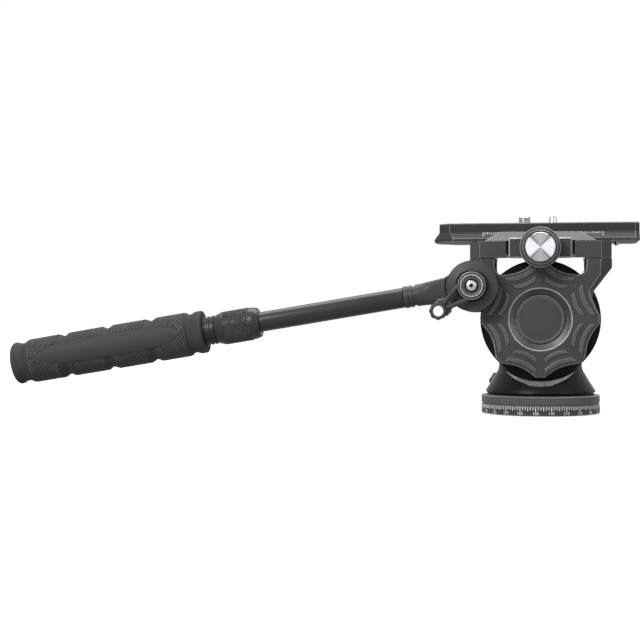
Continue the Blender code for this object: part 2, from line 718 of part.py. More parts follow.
def lobed_knob(name, outline, low, high, edge, matrix):
    """A knob over a lobed outline, chamfered at both ends."""
    inner = bezel(outline, edge)
    heights = ((inner, low), (outline, low + edge), (outline, high - edge), (inner, high))
    return lofted(name, [[(x, y, z) for x, y in ring] for ring, z in heights], matrix)


# The base.

def base_ring():
    inner = CORE_RADIUS + SEAT
    step = FOOT_RADIUS + SEAT
    return turned(
        "base_ring",
        [
            (inner, SCALE_TOP),
            (BASE_RADIUS - RING_CHAMFER, SCALE_TOP),
            (BASE_RADIUS, SCALE_TOP - RING_CHAMFER),
            (BASE_RADIUS, SCALE_BOTTOM + RING_CHAMFER),
            (BASE_RADIUS - RING_CHAMFER, SCALE_BOTTOM),
            (step, SCALE_BOTTOM),
            (step, FOOT_TOP + SEAT),
            (inner, FOOT_TOP + SEAT),
        ],
        LARGE,
        closed=True,
    )


def base_plate():
    socket = BUSH_RADIUS + SEAT
    socket_top = BUSH_TOP + SEAT
    return turned(
        "base_plate",
        [
            (0, NECK_TOP),
            (NECK_RADIUS, NECK_TOP),
            (NECK_RADIUS, SPINDLE_SHOULDER),
            (SPINDLE_RADIUS, SPINDLE_SHOULDER),
            (SPINDLE_RADIUS, CORE_TOP),
            (CORE_RADIUS, CORE_TOP),
            (CORE_RADIUS, FOOT_TOP),
            (FOOT_RADIUS, FOOT_TOP),
            (FOOT_RADIUS, FOOT_CHAMFER),
            (FOOT_RADIUS - FOOT_CHAMFER, 0),
            (socket, 0),
            (socket, socket_top),
            (THREAD_RADIUS, socket_top),
            (THREAD_RADIUS, THREAD_TOP),
            (0, THREAD_TOP),
        ],
        MEDIUM,
    )


def thread_bush():
    return sleeve("thread_bush", THREAD_RADIUS, BUSH_RADIUS, SEAT, BUSH_TOP, TINY)


# Pan bearing, housing and ring.

def pan_bearing():
    return sleeve("pan_bearing", THRUST_INNER, THRUST_OUTER, THRUST_BOTTOM, THRUST_TOP, TINY)


def pan_washer():
    top = WASHER_BOTTOM + WASHER_HEIGHT
    inner = NECK_RADIUS + RUNNING
    return sleeve("pan_washer", inner, WASHER_RADIUS, WASHER_BOTTOM, top, TINY)


def pan_nut():
    outlines = [circle(NUT_RADIUS, 6), circle(NECK_RADIUS + RUNNING, TINY)]
    return extruded("pan_nut", outlines, NUT_BOTTOM, NUT_BOTTOM + NUT_HEIGHT)


def pan_ring():
    inner = BOSS_RADIUS + SEAT
    return turned(
        "pan_ring",
        [
            (inner, PAN_RING_TOP),
            (BASE_RADIUS - RING_CHAMFER, PAN_RING_TOP),
            (BASE_RADIUS, PAN_RING_TOP - RING_CHAMFER),
            (BASE_RADIUS, HOUSING_BOTTOM + RING_CHAMFER),
            (BASE_RADIUS - RING_CHAMFER, HOUSING_BOTTOM),
            (inner, HOUSING_BOTTOM),
        ],
        LARGE,
        closed=True,
    )


def drum():
    return turned(
        "drum",
        [
            (0, DRUM_HALF),
            (DRUM_RADIUS - DRUM_CHAMFER, DRUM_HALF),
            (DRUM_RADIUS, DRUM_HALF - DRUM_CHAMFER),
            (DRUM_RADIUS, DRUM_CHAMFER - DRUM_HALF),
            (DRUM_RADIUS - DRUM_CHAMFER, -DRUM_HALF),
            (0, -DRUM_HALF),
        ],
        LARGE,
        TILT @ NEAR,
    )


def pocket(name, side):
    return turned(
        name,
        [
            (0, POCKET_DEPTH),
            (POCKET_MOUTH_RADIUS, POCKET_DEPTH),
            (POCKET_MOUTH_RADIUS, POCKET_FLARE_END),
            (POCKET_RADIUS, POCKET_FLARE_START),
            (POCKET_RADIUS, POCKET_START),
            (0, POCKET_START),
        ],
        LARGE,
        TILT @ side,
    )


def pan_bore():
    spindle = SPINDLE_RADIUS + RUNNING
    recess = THRUST_OUTER + SEAT
    return turned(
        "pan_bore",
        [
            (0, CONE_TOP),
            (NUT_BORE_RADIUS, CONE_TOP),
            (NUT_BORE_RADIUS, BORE_FLOOR),
            (spindle, BORE_FLOOR),
            (spindle, THRUST_TOP + SEAT),
            (recess, THRUST_TOP + SEAT),
            (recess, HOUSING_BOTTOM - OVERRUN),
            (0, HOUSING_BOTTOM - OVERRUN),
        ],
        MEDIUM,
    )


def pan_lock_axis():
    """Local Z points out of the cone along the pan lock."""
    spin = Matrix.Rotation(PAN_LOCK_TURN, 4, "Z") @ Matrix.Rotation(math.pi / 2, 4, "Y")
    return Matrix.Translation((0, 0, PAN_LOCK_HEIGHT)) @ spin


def housing():
    cone = turned(
        "housing",
        [
            (0, CONE_TOP),
            (CONE_TOP_RADIUS, CONE_TOP),
            (KNEE_RADIUS, KNEE_HEIGHT),
            (CONE_RADIUS, CONE_BOTTOM),
            (SHOULDER_RADIUS, SHOULDER_TOP),
            (SHOULDER_RADIUS, SHOULDER_BOTTOM),
            (BOSS_RADIUS, SHOULDER_BOTTOM),
            (BOSS_RADIUS, HOUSING_BOTTOM),
            (0, HOUSING_BOTTOM),
        ],
        LARGE,
    )
    fuse(cone, drum())
    bore_half = DRUM_HALF + OVERRUN
    lock = PAN_LOCK_SCREW_RADIUS + RUNNING
    cut(
        cone,
        rod("drum_bore", DRUM_BORE, -bore_half, bore_half, MEDIUM, TILT @ NEAR),
        pan_bore(),
        pocket("near_pocket", NEAR),
        pocket("far_pocket", FAR),
        rod("pan_lock_hole", lock, 0, PAN_LOCK_KNOB_START, TINY, pan_lock_axis()),
    )
    return cone


# What the drum holds: covers, bearings, axle and damper rotor.

def drum_cover(name, side):
    seat = BEARING_RADIUS + SEAT
    outer = DRUM_BORE - SEAT
    hole = AXLE_RADIUS + 2 * RUNNING
    return turned(
        name,
        [
            (hole, COVER_OUTER),
            (outer, COVER_OUTER),
            (outer, COVER_INNER),
            (seat, COVER_INNER),
            (seat, COVER_OUTER - COVER_LIP),
            (hole, COVER_OUTER - COVER_LIP),
        ],
        SMALL,
        TILT @ side,
        closed=True,
    )


def tilt_bearing(name, side):
    top = COVER_OUTER - COVER_LIP - SEAT
    inner = AXLE_RADIUS + RUNNING
    return sleeve(name, inner, BEARING_RADIUS, top - BEARING_HEIGHT, top, TINY, TILT @ side)


def tilt_axle():
    return turned(
        "tilt_axle",
        [
            (0, NEAR_STUB_END),
            (STUB_RADIUS, NEAR_STUB_END),
            (STUB_RADIUS, AXLE_HALF),
            (AXLE_RADIUS, AXLE_HALF),
            (AXLE_RADIUS, -AXLE_HALF),
            (STUB_RADIUS, -AXLE_HALF),
            (STUB_RADIUS, -FAR_STUB_END),
            (0, -FAR_STUB_END),
        ],
        TINY,
        TILT @ NEAR,
    )


def damper_rotor():
    inner = AXLE_RADIUS + SEAT
    half = [
        (inner, ROTOR_HUB_HALF),
        (ROTOR_HUB_RADIUS, ROTOR_HUB_HALF),
        (ROTOR_HUB_RADIUS, ROTOR_HALF),
        (ROTOR_FIN_INNER, ROTOR_HALF),
        (ROTOR_FIN_INNER, ROTOR_FIN_HALF),
        (ROTOR_FIN_OUTER, ROTOR_FIN_HALF),
        (ROTOR_FIN_OUTER, ROTOR_HALF),
        (ROTOR_RADIUS, ROTOR_HALF),
    ]
    mirrored = [(radius, -height) for radius, height in reversed(half)]
    return turned("damper_rotor", half + mirrored, TINY, TILT @ NEAR, closed=True)


# The cheeks.

def web_radius(turn, waist=WEB_WAIST):
    """Radius of the web's edge, which sags between the blunt points of the sectors."""
    sector = 2 * math.pi / WEB_SECTORS
    swing = sector / 2 - WEB_FLAT
    off_middle = abs((turn % sector) - sector / 2)
    share = min(off_middle / swing, 1)
    return waist * (1 + (WEB_RADIUS / WEB_WAIST - 1) * share ** 2)


def web_edge(start, end):
    """Points along the web from one blunt point to the next, in either direction."""
    direction = 1 if end > start else -1
    first = start + direction * WEB_FLAT
    last = end - direction * WEB_FLAT
    turns = [first + (last - first) * i / WEB_STEPS for i in range(WEB_STEPS + 1)]
    return [polar(web_radius(turn), turn) for turn in turns]


def window_corner(side):
    """The window's lower corner, from its side wall to the web; side is 1 in front and -1 behind."""
    middle_x = WINDOW_HALF - WINDOW_CORNER
    turns = [-math.pi / 2 * i / WINDOW_CORNER_STEPS for i in range(WINDOW_CORNER_STEPS)]
    arc = [polar(WINDOW_CORNER, turn) for turn in turns]
    return [(side * (middle_x + x), WINDOW_CORNER_HEIGHT + z) for x, z in arc]


def cheek_outline(face):
    """Outline of a cheek about the tilt axis: the wider rear one, or that of its front face."""
    sector = 2 * math.pi / WEB_SECTORS
    arm = [
        (ARM_FACE_WIDTH if face else ARM_TOP_WIDTH, ARM_TOP),
        (ARM_FACE_SHOULDER_WIDTH, ARM_FACE_SHOULDER_HEIGHT)
        if face
        else (ARM_TOP_WIDTH, ARM_SHOULDER_HEIGHT),
        (ARM_FACE_WAIST_WIDTH, ARM_FACE_WAIST_HEIGHT)
        if face
        else (ARM_WAIST_WIDTH, ARM_WAIST_HEIGHT),
        (ARM_FACE_ROOT_WIDTH if face else ARM_ROOT_WIDTH, ARM_ROOT_HEIGHT),
        polar(WEB_RADIUS, WEB_FLAT),
    ]
    outline = list(arm)
    for i in range(WEB_SECTORS // 2):
        outline += web_edge(-i * sector, -(i + 1) * sector)
    outline += [(-x, z) for x, z in reversed(arm)]
    outline += [(-WINDOW_HALF, ARM_TOP)] + window_corner(-1)
    outline += web_edge(3 * sector, 2 * sector)
    outline += web_edge(2 * sector, sector)
    outline += list(reversed(window_corner(1))) + [(WINDOW_HALF, ARM_TOP)]
    return outline


def at_depth(outline, depth, side):
    return [(x, side * depth, TILT_HEIGHT + z) for x, z in outline]


def web_bar(middle, waist, inside, side):
    """One raised bar between two spokes, sloped on every side."""
    sector = 2 * math.pi / WEB_SECTORS

    def arc(radius, trim):
        reach = sector / 2 - math.asin((SPOKE_HALF + trim) / radius)
        turns = [middle + reach * (2 * i / BAR_STEPS - 1) for i in range(BAR_STEPS + 1)]
        return [(web_radius(turn, radius), turn) for turn in turns]

    def ring(trim):
        outer = [polar(radius - trim, turn) for radius, turn in arc(waist, trim)]
        inner = [polar(radius + trim, turn) for radius, turn in arc(inside, trim)]
        return outer + inner[::-1]

    depths = (
        (ring(0), CHEEK_FACE - BAR_SINK),
        (ring(0), CHEEK_FACE),
        (ring(BAR_SLOPE), CHEEK_FACE + BAR_HEIGHT),
    )
    return [at_depth(outline, depth, side) for outline, depth in depths]


def web_bars(name, side):
    """All the bars of a cheek in one mesh of separate pieces."""
    sector = 2 * math.pi / WEB_SECTORS
    rows = ((OUTER_BAR_WAIST, OUTER_BAR_INSIDE), (INNER_BAR_WAIST, INNER_BAR_INSIDE))
    work = bmesh.new()
    for i in range(WEB_SECTORS):
        for waist, inside in rows:
            piece = lofted(name, web_bar((i + 0.5) * sector, waist, inside, side))
            work.from_mesh(piece.data)
            bpy.data.objects.remove(piece)
    mesh = bpy.data.meshes.new(name)
    work.to_mesh(mesh)
    work.free()
    return new_object(name, mesh, Matrix())


def hub_dish(name, side):
    """Cutter for the dished hub: a cone down to the cover's seat, and the nut's well behind it."""
    mouth = CHEEK_FACE - DISH_RIM
    slope = (DISH_RADIUS - DISH_FLOOR_RADIUS) / (mouth - DISH_FLOOR)
    past = CHEEK_FACE + BAR_HEIGHT
    return turned(
        name,
        [
            (0, past),
            (DISH_RADIUS + slope * DISH_RIM, past),
            (DISH_RADIUS + slope * DISH_RIM, CHEEK_FACE),
            (DISH_FLOOR_RADIUS, DISH_FLOOR),
            (DISH_FLOOR_RADIUS, HUB_FLOOR),
            (0, HUB_FLOOR),
        ],
        MEDIUM,
        TILT @ side,
    )


def handle_boss():
    """The boss on the near cheek, round at its face and swept back into the cheek."""
    def ring(radius, shift, depth):
        x = ROSETTE_X + shift * BOSS_ROOT_SHIFT_X
        z = ROSETTE_HEIGHT + shift * BOSS_ROOT_SHIFT_Z
        return at_depth(circle(radius, MEDIUM, x, z), depth, -1)

    sections = [
        ring(BOSS_ROOT_RADIUS, 1, CHEEK_INNER),
        ring(BOSS_ROOT_RADIUS, 1, CHEEK_FACE - CHEEK_EDGE),
        ring(BOSS_WAIST_RADIUS, 0, BOSS_SWEEP),
        ring(BOSS_WAIST_RADIUS, 0, BOSS_FACE - BOSS_FACE_EDGE),
        ring(BOSS_WAIST_RADIUS - BOSS_FACE_EDGE, 0, BOSS_FACE),
    ]
    return lofted("handle_boss", sections)


def clamp_bolt_axis(x, y):
    return Matrix.Translation((x, y, CLAMP_TOP - BOLT_SINK))


def guide_axis(x):
    return Matrix.Translation((x, 0, CLAMP_MIDDLE)) @ NEAR


KNOB_AXIS = Matrix.Translation((0, 0, KNOB_HEIGHT)) @ NEAR


BOLT_PLACES = [(x, y) for x in (-BOLT_X, BOLT_X) for y in (-BOLT_Y, BOLT_Y)]


def cheek(name, side, turn_side):
    depths = (
        (cheek_outline(False), CHEEK_INNER),
        (cheek_outline(False), CHEEK_STEP),
        (cheek_outline(True), CHEEK_FACE - CHEEK_EDGE),
        (bezel(cheek_outline(True), -CHEEK_EDGE), CHEEK_FACE),
    )
    plate = lofted(name, [at_depth(outline, depth, side) for outline, depth in depths])
    if side < 0:
        fuse(plate, handle_boss())
    fuse(plate, web_bars(name + "_bars", side))
    stub = STUB_RADIUS + SEAT
    cut(
        plate,
        hub_dish(name + "_dish", turn_side),
        rod(name + "_stub_hole", stub, 0, CHEEK_FACE, TINY, TILT @ turn_side),
    )
    if side < 0:
        cut(plate, rod("stud_hole", STUD_RADIUS + SEAT, STUD_START - SEAT, STUD_END, TINY, LEVER_AXIS))
    for i, (x, y) in enumerate(BOLT_PLACES):
        if y * side > 0:
            shank = BOLT_RADIUS + SEAT
            axis = clamp_bolt_axis(x, y)
            cut(plate, rod(f"{name}_bolt_hole_{i}", shank, -BOLT_LENGTH - SEAT, 0, TINY, axis))
    return plate


def hub_cover():
    top = DISH_FLOOR - SEAT
    radius = DISH_FLOOR_RADIUS - SEAT
    bottom = top - HUB_COVER_HEIGHT
    return turned(
        "near_hub_cover",
        [
            (0, top),
            (radius - HUB_COVER_CHAMFER, top),
            (radius, top - HUB_COVER_CHAMFER),
            (radius, bottom),
            (0, bottom),
        ],
        MEDIUM,
        TILT @ NEAR,
    )


def axle_nut():
    outlines = [circle(AXLE_NUT_RADIUS, 6), circle(STUB_RADIUS + SEAT, TINY)]
    low = HUB_FLOOR + SEAT
    return extruded("axle_nut", outlines, low, low + AXLE_NUT_HEIGHT, TILT @ NEAR)


def handle_stud():
    return rod("handle_stud", STUD_RADIUS, STUD_START, STUD_END, TINY, LEVER_AXIS)


# The clamp.

def lip_reach(height):
    """Half length of a clamp lip, whose ends lean inwards with height."""
    share = (height - CLAMP_TOP) / (LIP_CREST - CLAMP_TOP)
    return LIP_FOOT_HALF + (LIP_CREST_HALF - LIP_FOOT_HALF) * max(share, 0)


def lip(name, side, foot):
    """A clamp lip along X that hooks over the plate's flange; it stands on the given height."""
    bevel = (FLANGE_HALF - SLAB_HALF) / (SLAB_BOTTOM - FLANGE_TOP)
    inner_foot = FLANGE_HALF + SEAT
    inner_crest = inner_foot + SEAT - bevel * (LIP_CREST - FLANGE_TOP)
    section = [
        (CLAMP_HALF_WIDTH, foot),
        (CLAMP_HALF_WIDTH, CLAMP_TOP + SEAT),
        (inner_crest + LIP_CREST_WIDTH, LIP_CREST),
        (inner_crest, LIP_CREST),
        (inner_foot, FLANGE_TOP + SEAT),
        (inner_foot, foot),
    ]
    ends = [
        [(end * lip_reach(z), side * y, z) for y, z in section]
        for end in (-1, 1)
    ]
    return lofted(name, ends)


def clamp_body():
    outline = chamfered_rectangle(
        -CLAMP_HALF_LENGTH, CLAMP_HALF_LENGTH, CLAMP_HALF_WIDTH, CLAMP_CORNER, CLAMP_CORNER
    )
    inner = bezel(outline, CLAMP_EDGE)
    levels = (
        (inner, CLAMP_BOTTOM),
        (outline, CLAMP_BOTTOM + CLAMP_EDGE),
        (outline, CLAMP_TOP - CLAMP_EDGE),
        (inner, CLAMP_TOP),
    )
    body = lofted("clamp_body", [[(x, y, z) for x, y in ring] for ring, z in levels])
    fuse(body, lip("far_lip", 1, CLAMP_TOP - OVERRUN))
    slot_half = JAW_BLOCK_HALF + JAW_SLOT
    pocket_back = CLAMP_HALF_WIDTH - JAW_DEPTH - SEAT
    recess = box(
        "jaw_recess",
        (-slot_half, -CLAMP_HALF_WIDTH - OVERRUN, CLAMP_BOTTOM - OVERRUN),
        (slot_half, -pocket_back, CLAMP_TOP + OVERRUN),
    )
    bore = CLAMP_SCREW_RADIUS + RUNNING
    bore_end = -CLAMP_SCREW_INNER - OVERRUN
    cut(body, recess, rod("clamp_screw_bore", bore, bore_end, CLAMP_HALF_WIDTH, TINY, KNOB_AXIS))
    seat = GUIDE_RADIUS + SEAT
    for name, x in (("rear", -GUIDE_X), ("front", GUIDE_X)):
        hole = name + "_guide_bore"
        cut(body, rod(hole, seat, GUIDE_INNER - SEAT, CLAMP_HALF_WIDTH, TINY, guide_axis(x)))
    for i, (x, y) in enumerate(BOLT_PLACES):
        head = BOLT_HEAD_RADIUS + SEAT
        shank = BOLT_RADIUS + SEAT
        hole = turned(
            f"clamp_bolt_hole_{i}",
            [
                (0, OVERRUN),
                (head, OVERRUN),
                (head, -BOLT_HEAD_HEIGHT - SEAT),
                (shank, -BOLT_HEAD_HEIGHT - SEAT),
                (shank, -BOLT_LENGTH),
                (0, -BOLT_LENGTH),
            ],
            TINY,
            clamp_bolt_axis(x, y),
        )
        cut(body, hole)
    return body


def clamp_jaw():
    jaw = lip("clamp_jaw", -1, CLAMP_TOP + SEAT)
    block = box(
        "jaw_block",
        (-JAW_BLOCK_HALF, -CLAMP_HALF_WIDTH, CLAMP_BOTTOM),
        (JAW_BLOCK_HALF, JAW_DEPTH - CLAMP_HALF_WIDTH, FLANGE_TOP),
    )
    fuse(jaw, block)
    past = CLAMP_HALF_WIDTH + OVERRUN
    cut(jaw, rod("jaw_screw_hole", CLAMP_SCREW_RADIUS + RUNNING, 0, past, TINY, KNOB_AXIS))
    for name, x in (("rear", -GUIDE_X), ("front", GUIDE_X)):
        cut(jaw, rod(name + "_guide_hole", GUIDE_RADIUS + RUNNING, 0, past, TINY, guide_axis(x)))
    return jaw


def guide_pin(name, x):
    return rod(name, GUIDE_RADIUS, GUIDE_INNER, CLAMP_HALF_WIDTH - SEAT, TINY, guide_axis(x))


def clamp_bolt(name, x, y):
    axis = clamp_bolt_axis(x, y)
    return turned(
        name,
        [
            (0, -BOLT_SOCKET_DEPTH),
            (BOLT_SOCKET_RADIUS, -BOLT_SOCKET_DEPTH),
            (BOLT_SOCKET_RADIUS, 0),
            (BOLT_HEAD_RADIUS, 0),
            (BOLT_HEAD_RADIUS, -BOLT_HEAD_HEIGHT),
            (BOLT_RADIUS, -BOLT_HEAD_HEIGHT),
            (BOLT_RADIUS, -BOLT_LENGTH),
            (0, -BOLT_LENGTH),
        ],
        TINY,
        axis,
    )


def clamp_screw():
    end = KNOB_BACK + KNOB_COLLAR
    return rod("clamp_screw", CLAMP_SCREW_RADIUS, -CLAMP_SCREW_INNER, end, TINY, KNOB_AXIS)


def clamp_knob():
    bore = CLAMP_SCREW_RADIUS + SEAT
    floor = KNOB_FRONT - KNOB_RECESS
    recess = DISC_RADIUS + SEAT
    collar_back = KNOB_BACK - KNOB_COLLAR + SEAT
    return turned(
        "clamp_knob",
        [
            (0, floor),
            (recess, floor),
            (recess, KNOB_FRONT),
            (KNOB_RIM_RADIUS, KNOB_FRONT),
            (KNOB_RADIUS, KNOB_FRONT - KNOB_CHAMFER),
            (KNOB_RADIUS, KNOB_BACK + KNOB_CHAMFER),
            (KNOB_RADIUS - KNOB_CHAMFER, KNOB_BACK),
            (KNOB_COLLAR_RADIUS, KNOB_BACK),
            (KNOB_COLLAR_RADIUS, collar_back),
            (bore, collar_back),
            (bore, KNOB_BACK + KNOB_COLLAR + SEAT),
            (0, KNOB_BACK + KNOB_COLLAR + SEAT),
        ],
        MEDIUM,
        KNOB_AXIS,
    )


def knob_disc():
    low = KNOB_FRONT - KNOB_RECESS + SEAT
    return rod("knob_disc", DISC_RADIUS, low, KNOB_FRONT + DISC_RISE, MEDIUM, KNOB_AXIS)


# The plate.

def upright(x):
    """An upright axis through the plate's middle line."""
    return Matrix.Translation((x, 0, 0))


def release_plate():
    slab = chamfered_rectangle(PLATE_REAR, PLATE_FRONT, SLAB_HALF, SLAB_CORNER, FRONT_CORNER)
    flange = chamfered_rectangle(FLANGE_REAR, PLATE_FRONT, FLANGE_HALF, FLANGE_CORNER, FRONT_CORNER)
    levels = (
        (flange, FLANGE_BOTTOM),
        (flange, FLANGE_TOP),
        (slab, SLAB_BOTTOM),
        (slab, SLAB_TOP - SLAB_EDGE),
        (bezel(slab, SLAB_EDGE), SLAB_TOP),
    )
    plate = lofted("release_plate", [[(x, y, z) for x, y in ring] for ring, z in levels])
    slot_radius = SCREW_RADIUS + RUNNING
    ends = [polar(slot_radius, math.pi * i / SLOT_STEPS - math.pi / 2) for i in range(SLOT_STEPS + 1)]
    reach = SLOT_HALF - slot_radius
    front = [(SCREW_X + reach + x, y) for x, y in ends]
    rear = [(SCREW_X - reach - x, -y) for x, y in ends]
    below = FLANGE_BOTTOM - OVERRUN
    above = SLAB_TOP + OVERRUN
    head = SCREW_HEAD_RADIUS + RUNNING
    head_top = FLANGE_BOTTOM + SCREW_HEAD_HEIGHT + 2 * RUNNING
    stop_top = STOP_TOP + STOP_TRAVEL + SEAT
    cut(
        plate,
        extruded("screw_slot", [front + rear], below, above),
        rod("head_well", head, below, head_top, SMALL, upright(SCREW_X)),
        rod("pin_hole", PIN_RADIUS + RUNNING, below, above, TINY, upright(PIN_X)),
        rod("stop_hole", STOP_RADIUS + RUNNING, below, stop_top, TINY, upright(STOP_X)),
        box(
            "pad_recess",
            (-PAD_HALF_LENGTH - SEAT, -PAD_HALF_WIDTH - SEAT, SLAB_TOP - PAD_SINK - SEAT),
            (PAD_HALF_LENGTH + SEAT, PAD_HALF_WIDTH + SEAT, above),
        ),
    )
    return plate


def plate_pad():
    outline = chamfered_rectangle(-PAD_HALF_LENGTH, PAD_HALF_LENGTH, PAD_HALF_WIDTH, PAD_CORNER, PAD_CORNER)
    hole = circle(SLOT_HALF + SEAT, SMALL, SCREW_X)
    pin = circle(PIN_RADIUS + 2 * RUNNING, TINY, PIN_X)
    low = SLAB_TOP - PAD_SINK
    return extruded("plate_pad", [outline, hole, pin], low, low + PAD_HEIGHT)


def camera_screw():
    """Quarter-inch screw: plain shank, ridged end above the pad and a flat head under the plate."""
    top = SLAB_TOP + SCREW_RISE
    head_low = FLANGE_BOTTOM + RUNNING
    head_high = head_low + SCREW_HEAD_HEIGHT
    ridges = []
    height = top
    while height - SCREW_PITCH > SLAB_TOP:
        ridges += [(SCREW_ROOT_RADIUS, height), (SCREW_RADIUS, height - SCREW_PITCH / 2)]
        height -= SCREW_PITCH
    return turned(
        "camera_screw",
        [(0, top)]
        + ridges
        + [
            (SCREW_ROOT_RADIUS, height),
            (SCREW_ROOT_RADIUS, head_high),
            (SCREW_HEAD_RADIUS, head_high),
            (SCREW_HEAD_RADIUS, head_low),
            (0, head_low),
        ],
        TINY,
        upright(SCREW_X),
    )


def video_pin():
    top = SLAB_TOP + PIN_RISE
    return turned(
        "video_pin",
        [
            (0, top),
            (PIN_TIP_RADIUS - STOP_EDGE, top),
            (PIN_TIP_RADIUS, top - STOP_EDGE),
            (PIN_RADIUS, SLAB_TOP),
            (PIN_RADIUS, PIN_BOTTOM),
            (0, PIN_BOTTOM),
        ],
        TINY,
        upright(PIN_X),
    )


def stop_pin():
    low = FLANGE_BOTTOM - STOP_DROP
    return turned(
        "stop_pin",
        [
            (0, STOP_TOP),
            (STOP_RADIUS, STOP_TOP),
            (STOP_RADIUS, low + STOP_EDGE),
            (STOP_RADIUS - STOP_EDGE, low),
            (0, low),
        ],
        TINY,
        upright(STOP_X),
    )


# The pan handle. Its pieces are turned about the handle's own axis, which is their local Z.

def arm_outline():
    """Eye and arm seen from the side, x up across the arm and y along it, with filleted shoulders."""
    along = math.sqrt((EYE_RADIUS + ARM_FILLET) ** 2 - (ARM_HALF + ARM_FILLET) ** 2)
    contact = math.atan2(ARM_HALF + ARM_FILLET, along)
    upper = [(ARM_END_HALF, ARM_END)]
    for i in range(ARM_FILLET_STEPS + 1):
        y, x = polar(ARM_FILLET, -math.pi / 2 - (math.pi / 2 - contact) * i / ARM_FILLET_STEPS)
        upper.append((ARM_HALF + ARM_FILLET + x, along + y))
    sweep = math.pi - contact
    eye = []
    for i in range(1, SMALL):
        x, y = polar(EYE_RADIUS, math.pi / 2 - contact - 2 * sweep * i / SMALL)
        eye.append((x, y))
    lower = [(-x, y) for x, y in reversed(upper)]
    return upper + eye + lower


def handle_arm():
    outline = arm_outline()
    inner = bezel(outline, -EYE_EDGE)
    levels = (
        (inner, -EYE_HALF),
        (outline, EYE_EDGE - EYE_HALF),
        (outline, EYE_HALF - EYE_EDGE),
        (inner, EYE_HALF),
    )
    arm = lofted("handle_arm", [[(x, y, along) for x, along in ring] for ring, y in levels], HANDLE)
    ferrule = turned(
        "ferrule",
        [
            (0, SPIGOT_END),
            (SPIGOT_RADIUS, SPIGOT_END),
            (SPIGOT_RADIUS, FERRULE_END),
            (FERRULE_RADIUS, FERRULE_END),
            (FERRULE_RADIUS, FERRULE_GROOVE + FERRULE_GROOVE_WIDTH),
            (FERRULE_GROOVE_RADIUS, FERRULE_GROOVE + FERRULE_GROOVE_WIDTH),
            (FERRULE_GROOVE_RADIUS, FERRULE_GROOVE),
            (FERRULE_RADIUS, FERRULE_GROOVE),
            (FERRULE_RADIUS, FERRULE_START),
            (FERRULE_ROOT_RADIUS, FERRULE_ROOT),
            (0, FERRULE_ROOT),
        ],
        SMALL,
        HANDLE,
    )
    fuse(arm, ferrule)
    cut(arm, rod("eye_bore", EYE_BORE, CHEEK_INNER, LEVER_FRONT, TINY, LEVER_AXIS))
    return arm


def handle_tube():
    return sleeve("handle_tube", TUBE_BORE, TUBE_RADIUS, FERRULE_END + SEAT, TUBE_END, SMALL, HANDLE)


COLLAR_BORE = SLEEVE_THREAD_RADIUS + RUNNING


def extension_collar():
    mouth = TUBE_RADIUS + RUNNING
    lip_end = COLLAR_START + COLLAR_LIP
    return turned(
        "extension_collar",
        [
            (COLLAR_BORE, COLLAR_END),
            (COLLAR_TAIL_RADIUS, COLLAR_END),
            (COLLAR_RADIUS, COLLAR_TAPER),
            (COLLAR_RADIUS, COLLAR_BAND_END),
            (COLLAR_BAND_RADIUS, COLLAR_BAND_END),
            (COLLAR_BAND_RADIUS, COLLAR_BAND_START),
            (COLLAR_NOSE_RADIUS, COLLAR_START),
            (mouth, COLLAR_START),
            (mouth, lip_end),
            (COLLAR_BORE, lip_end),
        ],
        MEDIUM,
        HANDLE,
        closed=True,
    )


def collet():
    low = COLLAR_START + COLLAR_LIP + SEAT
    high = low + COLLET_LENGTH
    inner = TUBE_RADIUS + RUNNING
    ring = sleeve("collet", inner, SLEEVE_THREAD_RADIUS, low, high, SMALL, HANDLE)
    slit = box(
        "collet_slit",
        (-COLLAR_RADIUS, -COLLET_SLIT_HALF, low - OVERRUN),
        (0, COLLET_SLIT_HALF, high + OVERRUN),
    )
    slit.matrix_world = HANDLE
    cut(ring, slit)
    return ring


def grip_sleeve():
    bore = TUBE_RADIUS + RUNNING
    ribs = []
    rib = NECK_LENGTH / (2 * NECK_RIBS - 1)
    for i in reversed(range(NECK_RIBS)):
        low = NECK_START + 2 * i * rib
        ribs += [(NECK_OUTER, low + rib), (NECK_OUTER, low)]
        if i:
            ribs += [(NECK_GROOVE, low), (NECK_GROOVE, low - rib)]
    return turned(
        "grip_sleeve",
        [(bore, SLEEVE_END), (SLEEVE_RADIUS, SLEEVE_END), (SLEEVE_RADIUS, GRIP_START)]
        + ribs
        + [
            (SLEEVE_THREAD_RADIUS, NECK_START),
            (SLEEVE_THREAD_RADIUS, SLEEVE_START),
            (bore, SLEEVE_START),
        ],
        SMALL,
        HANDLE,
        closed=True,
    )


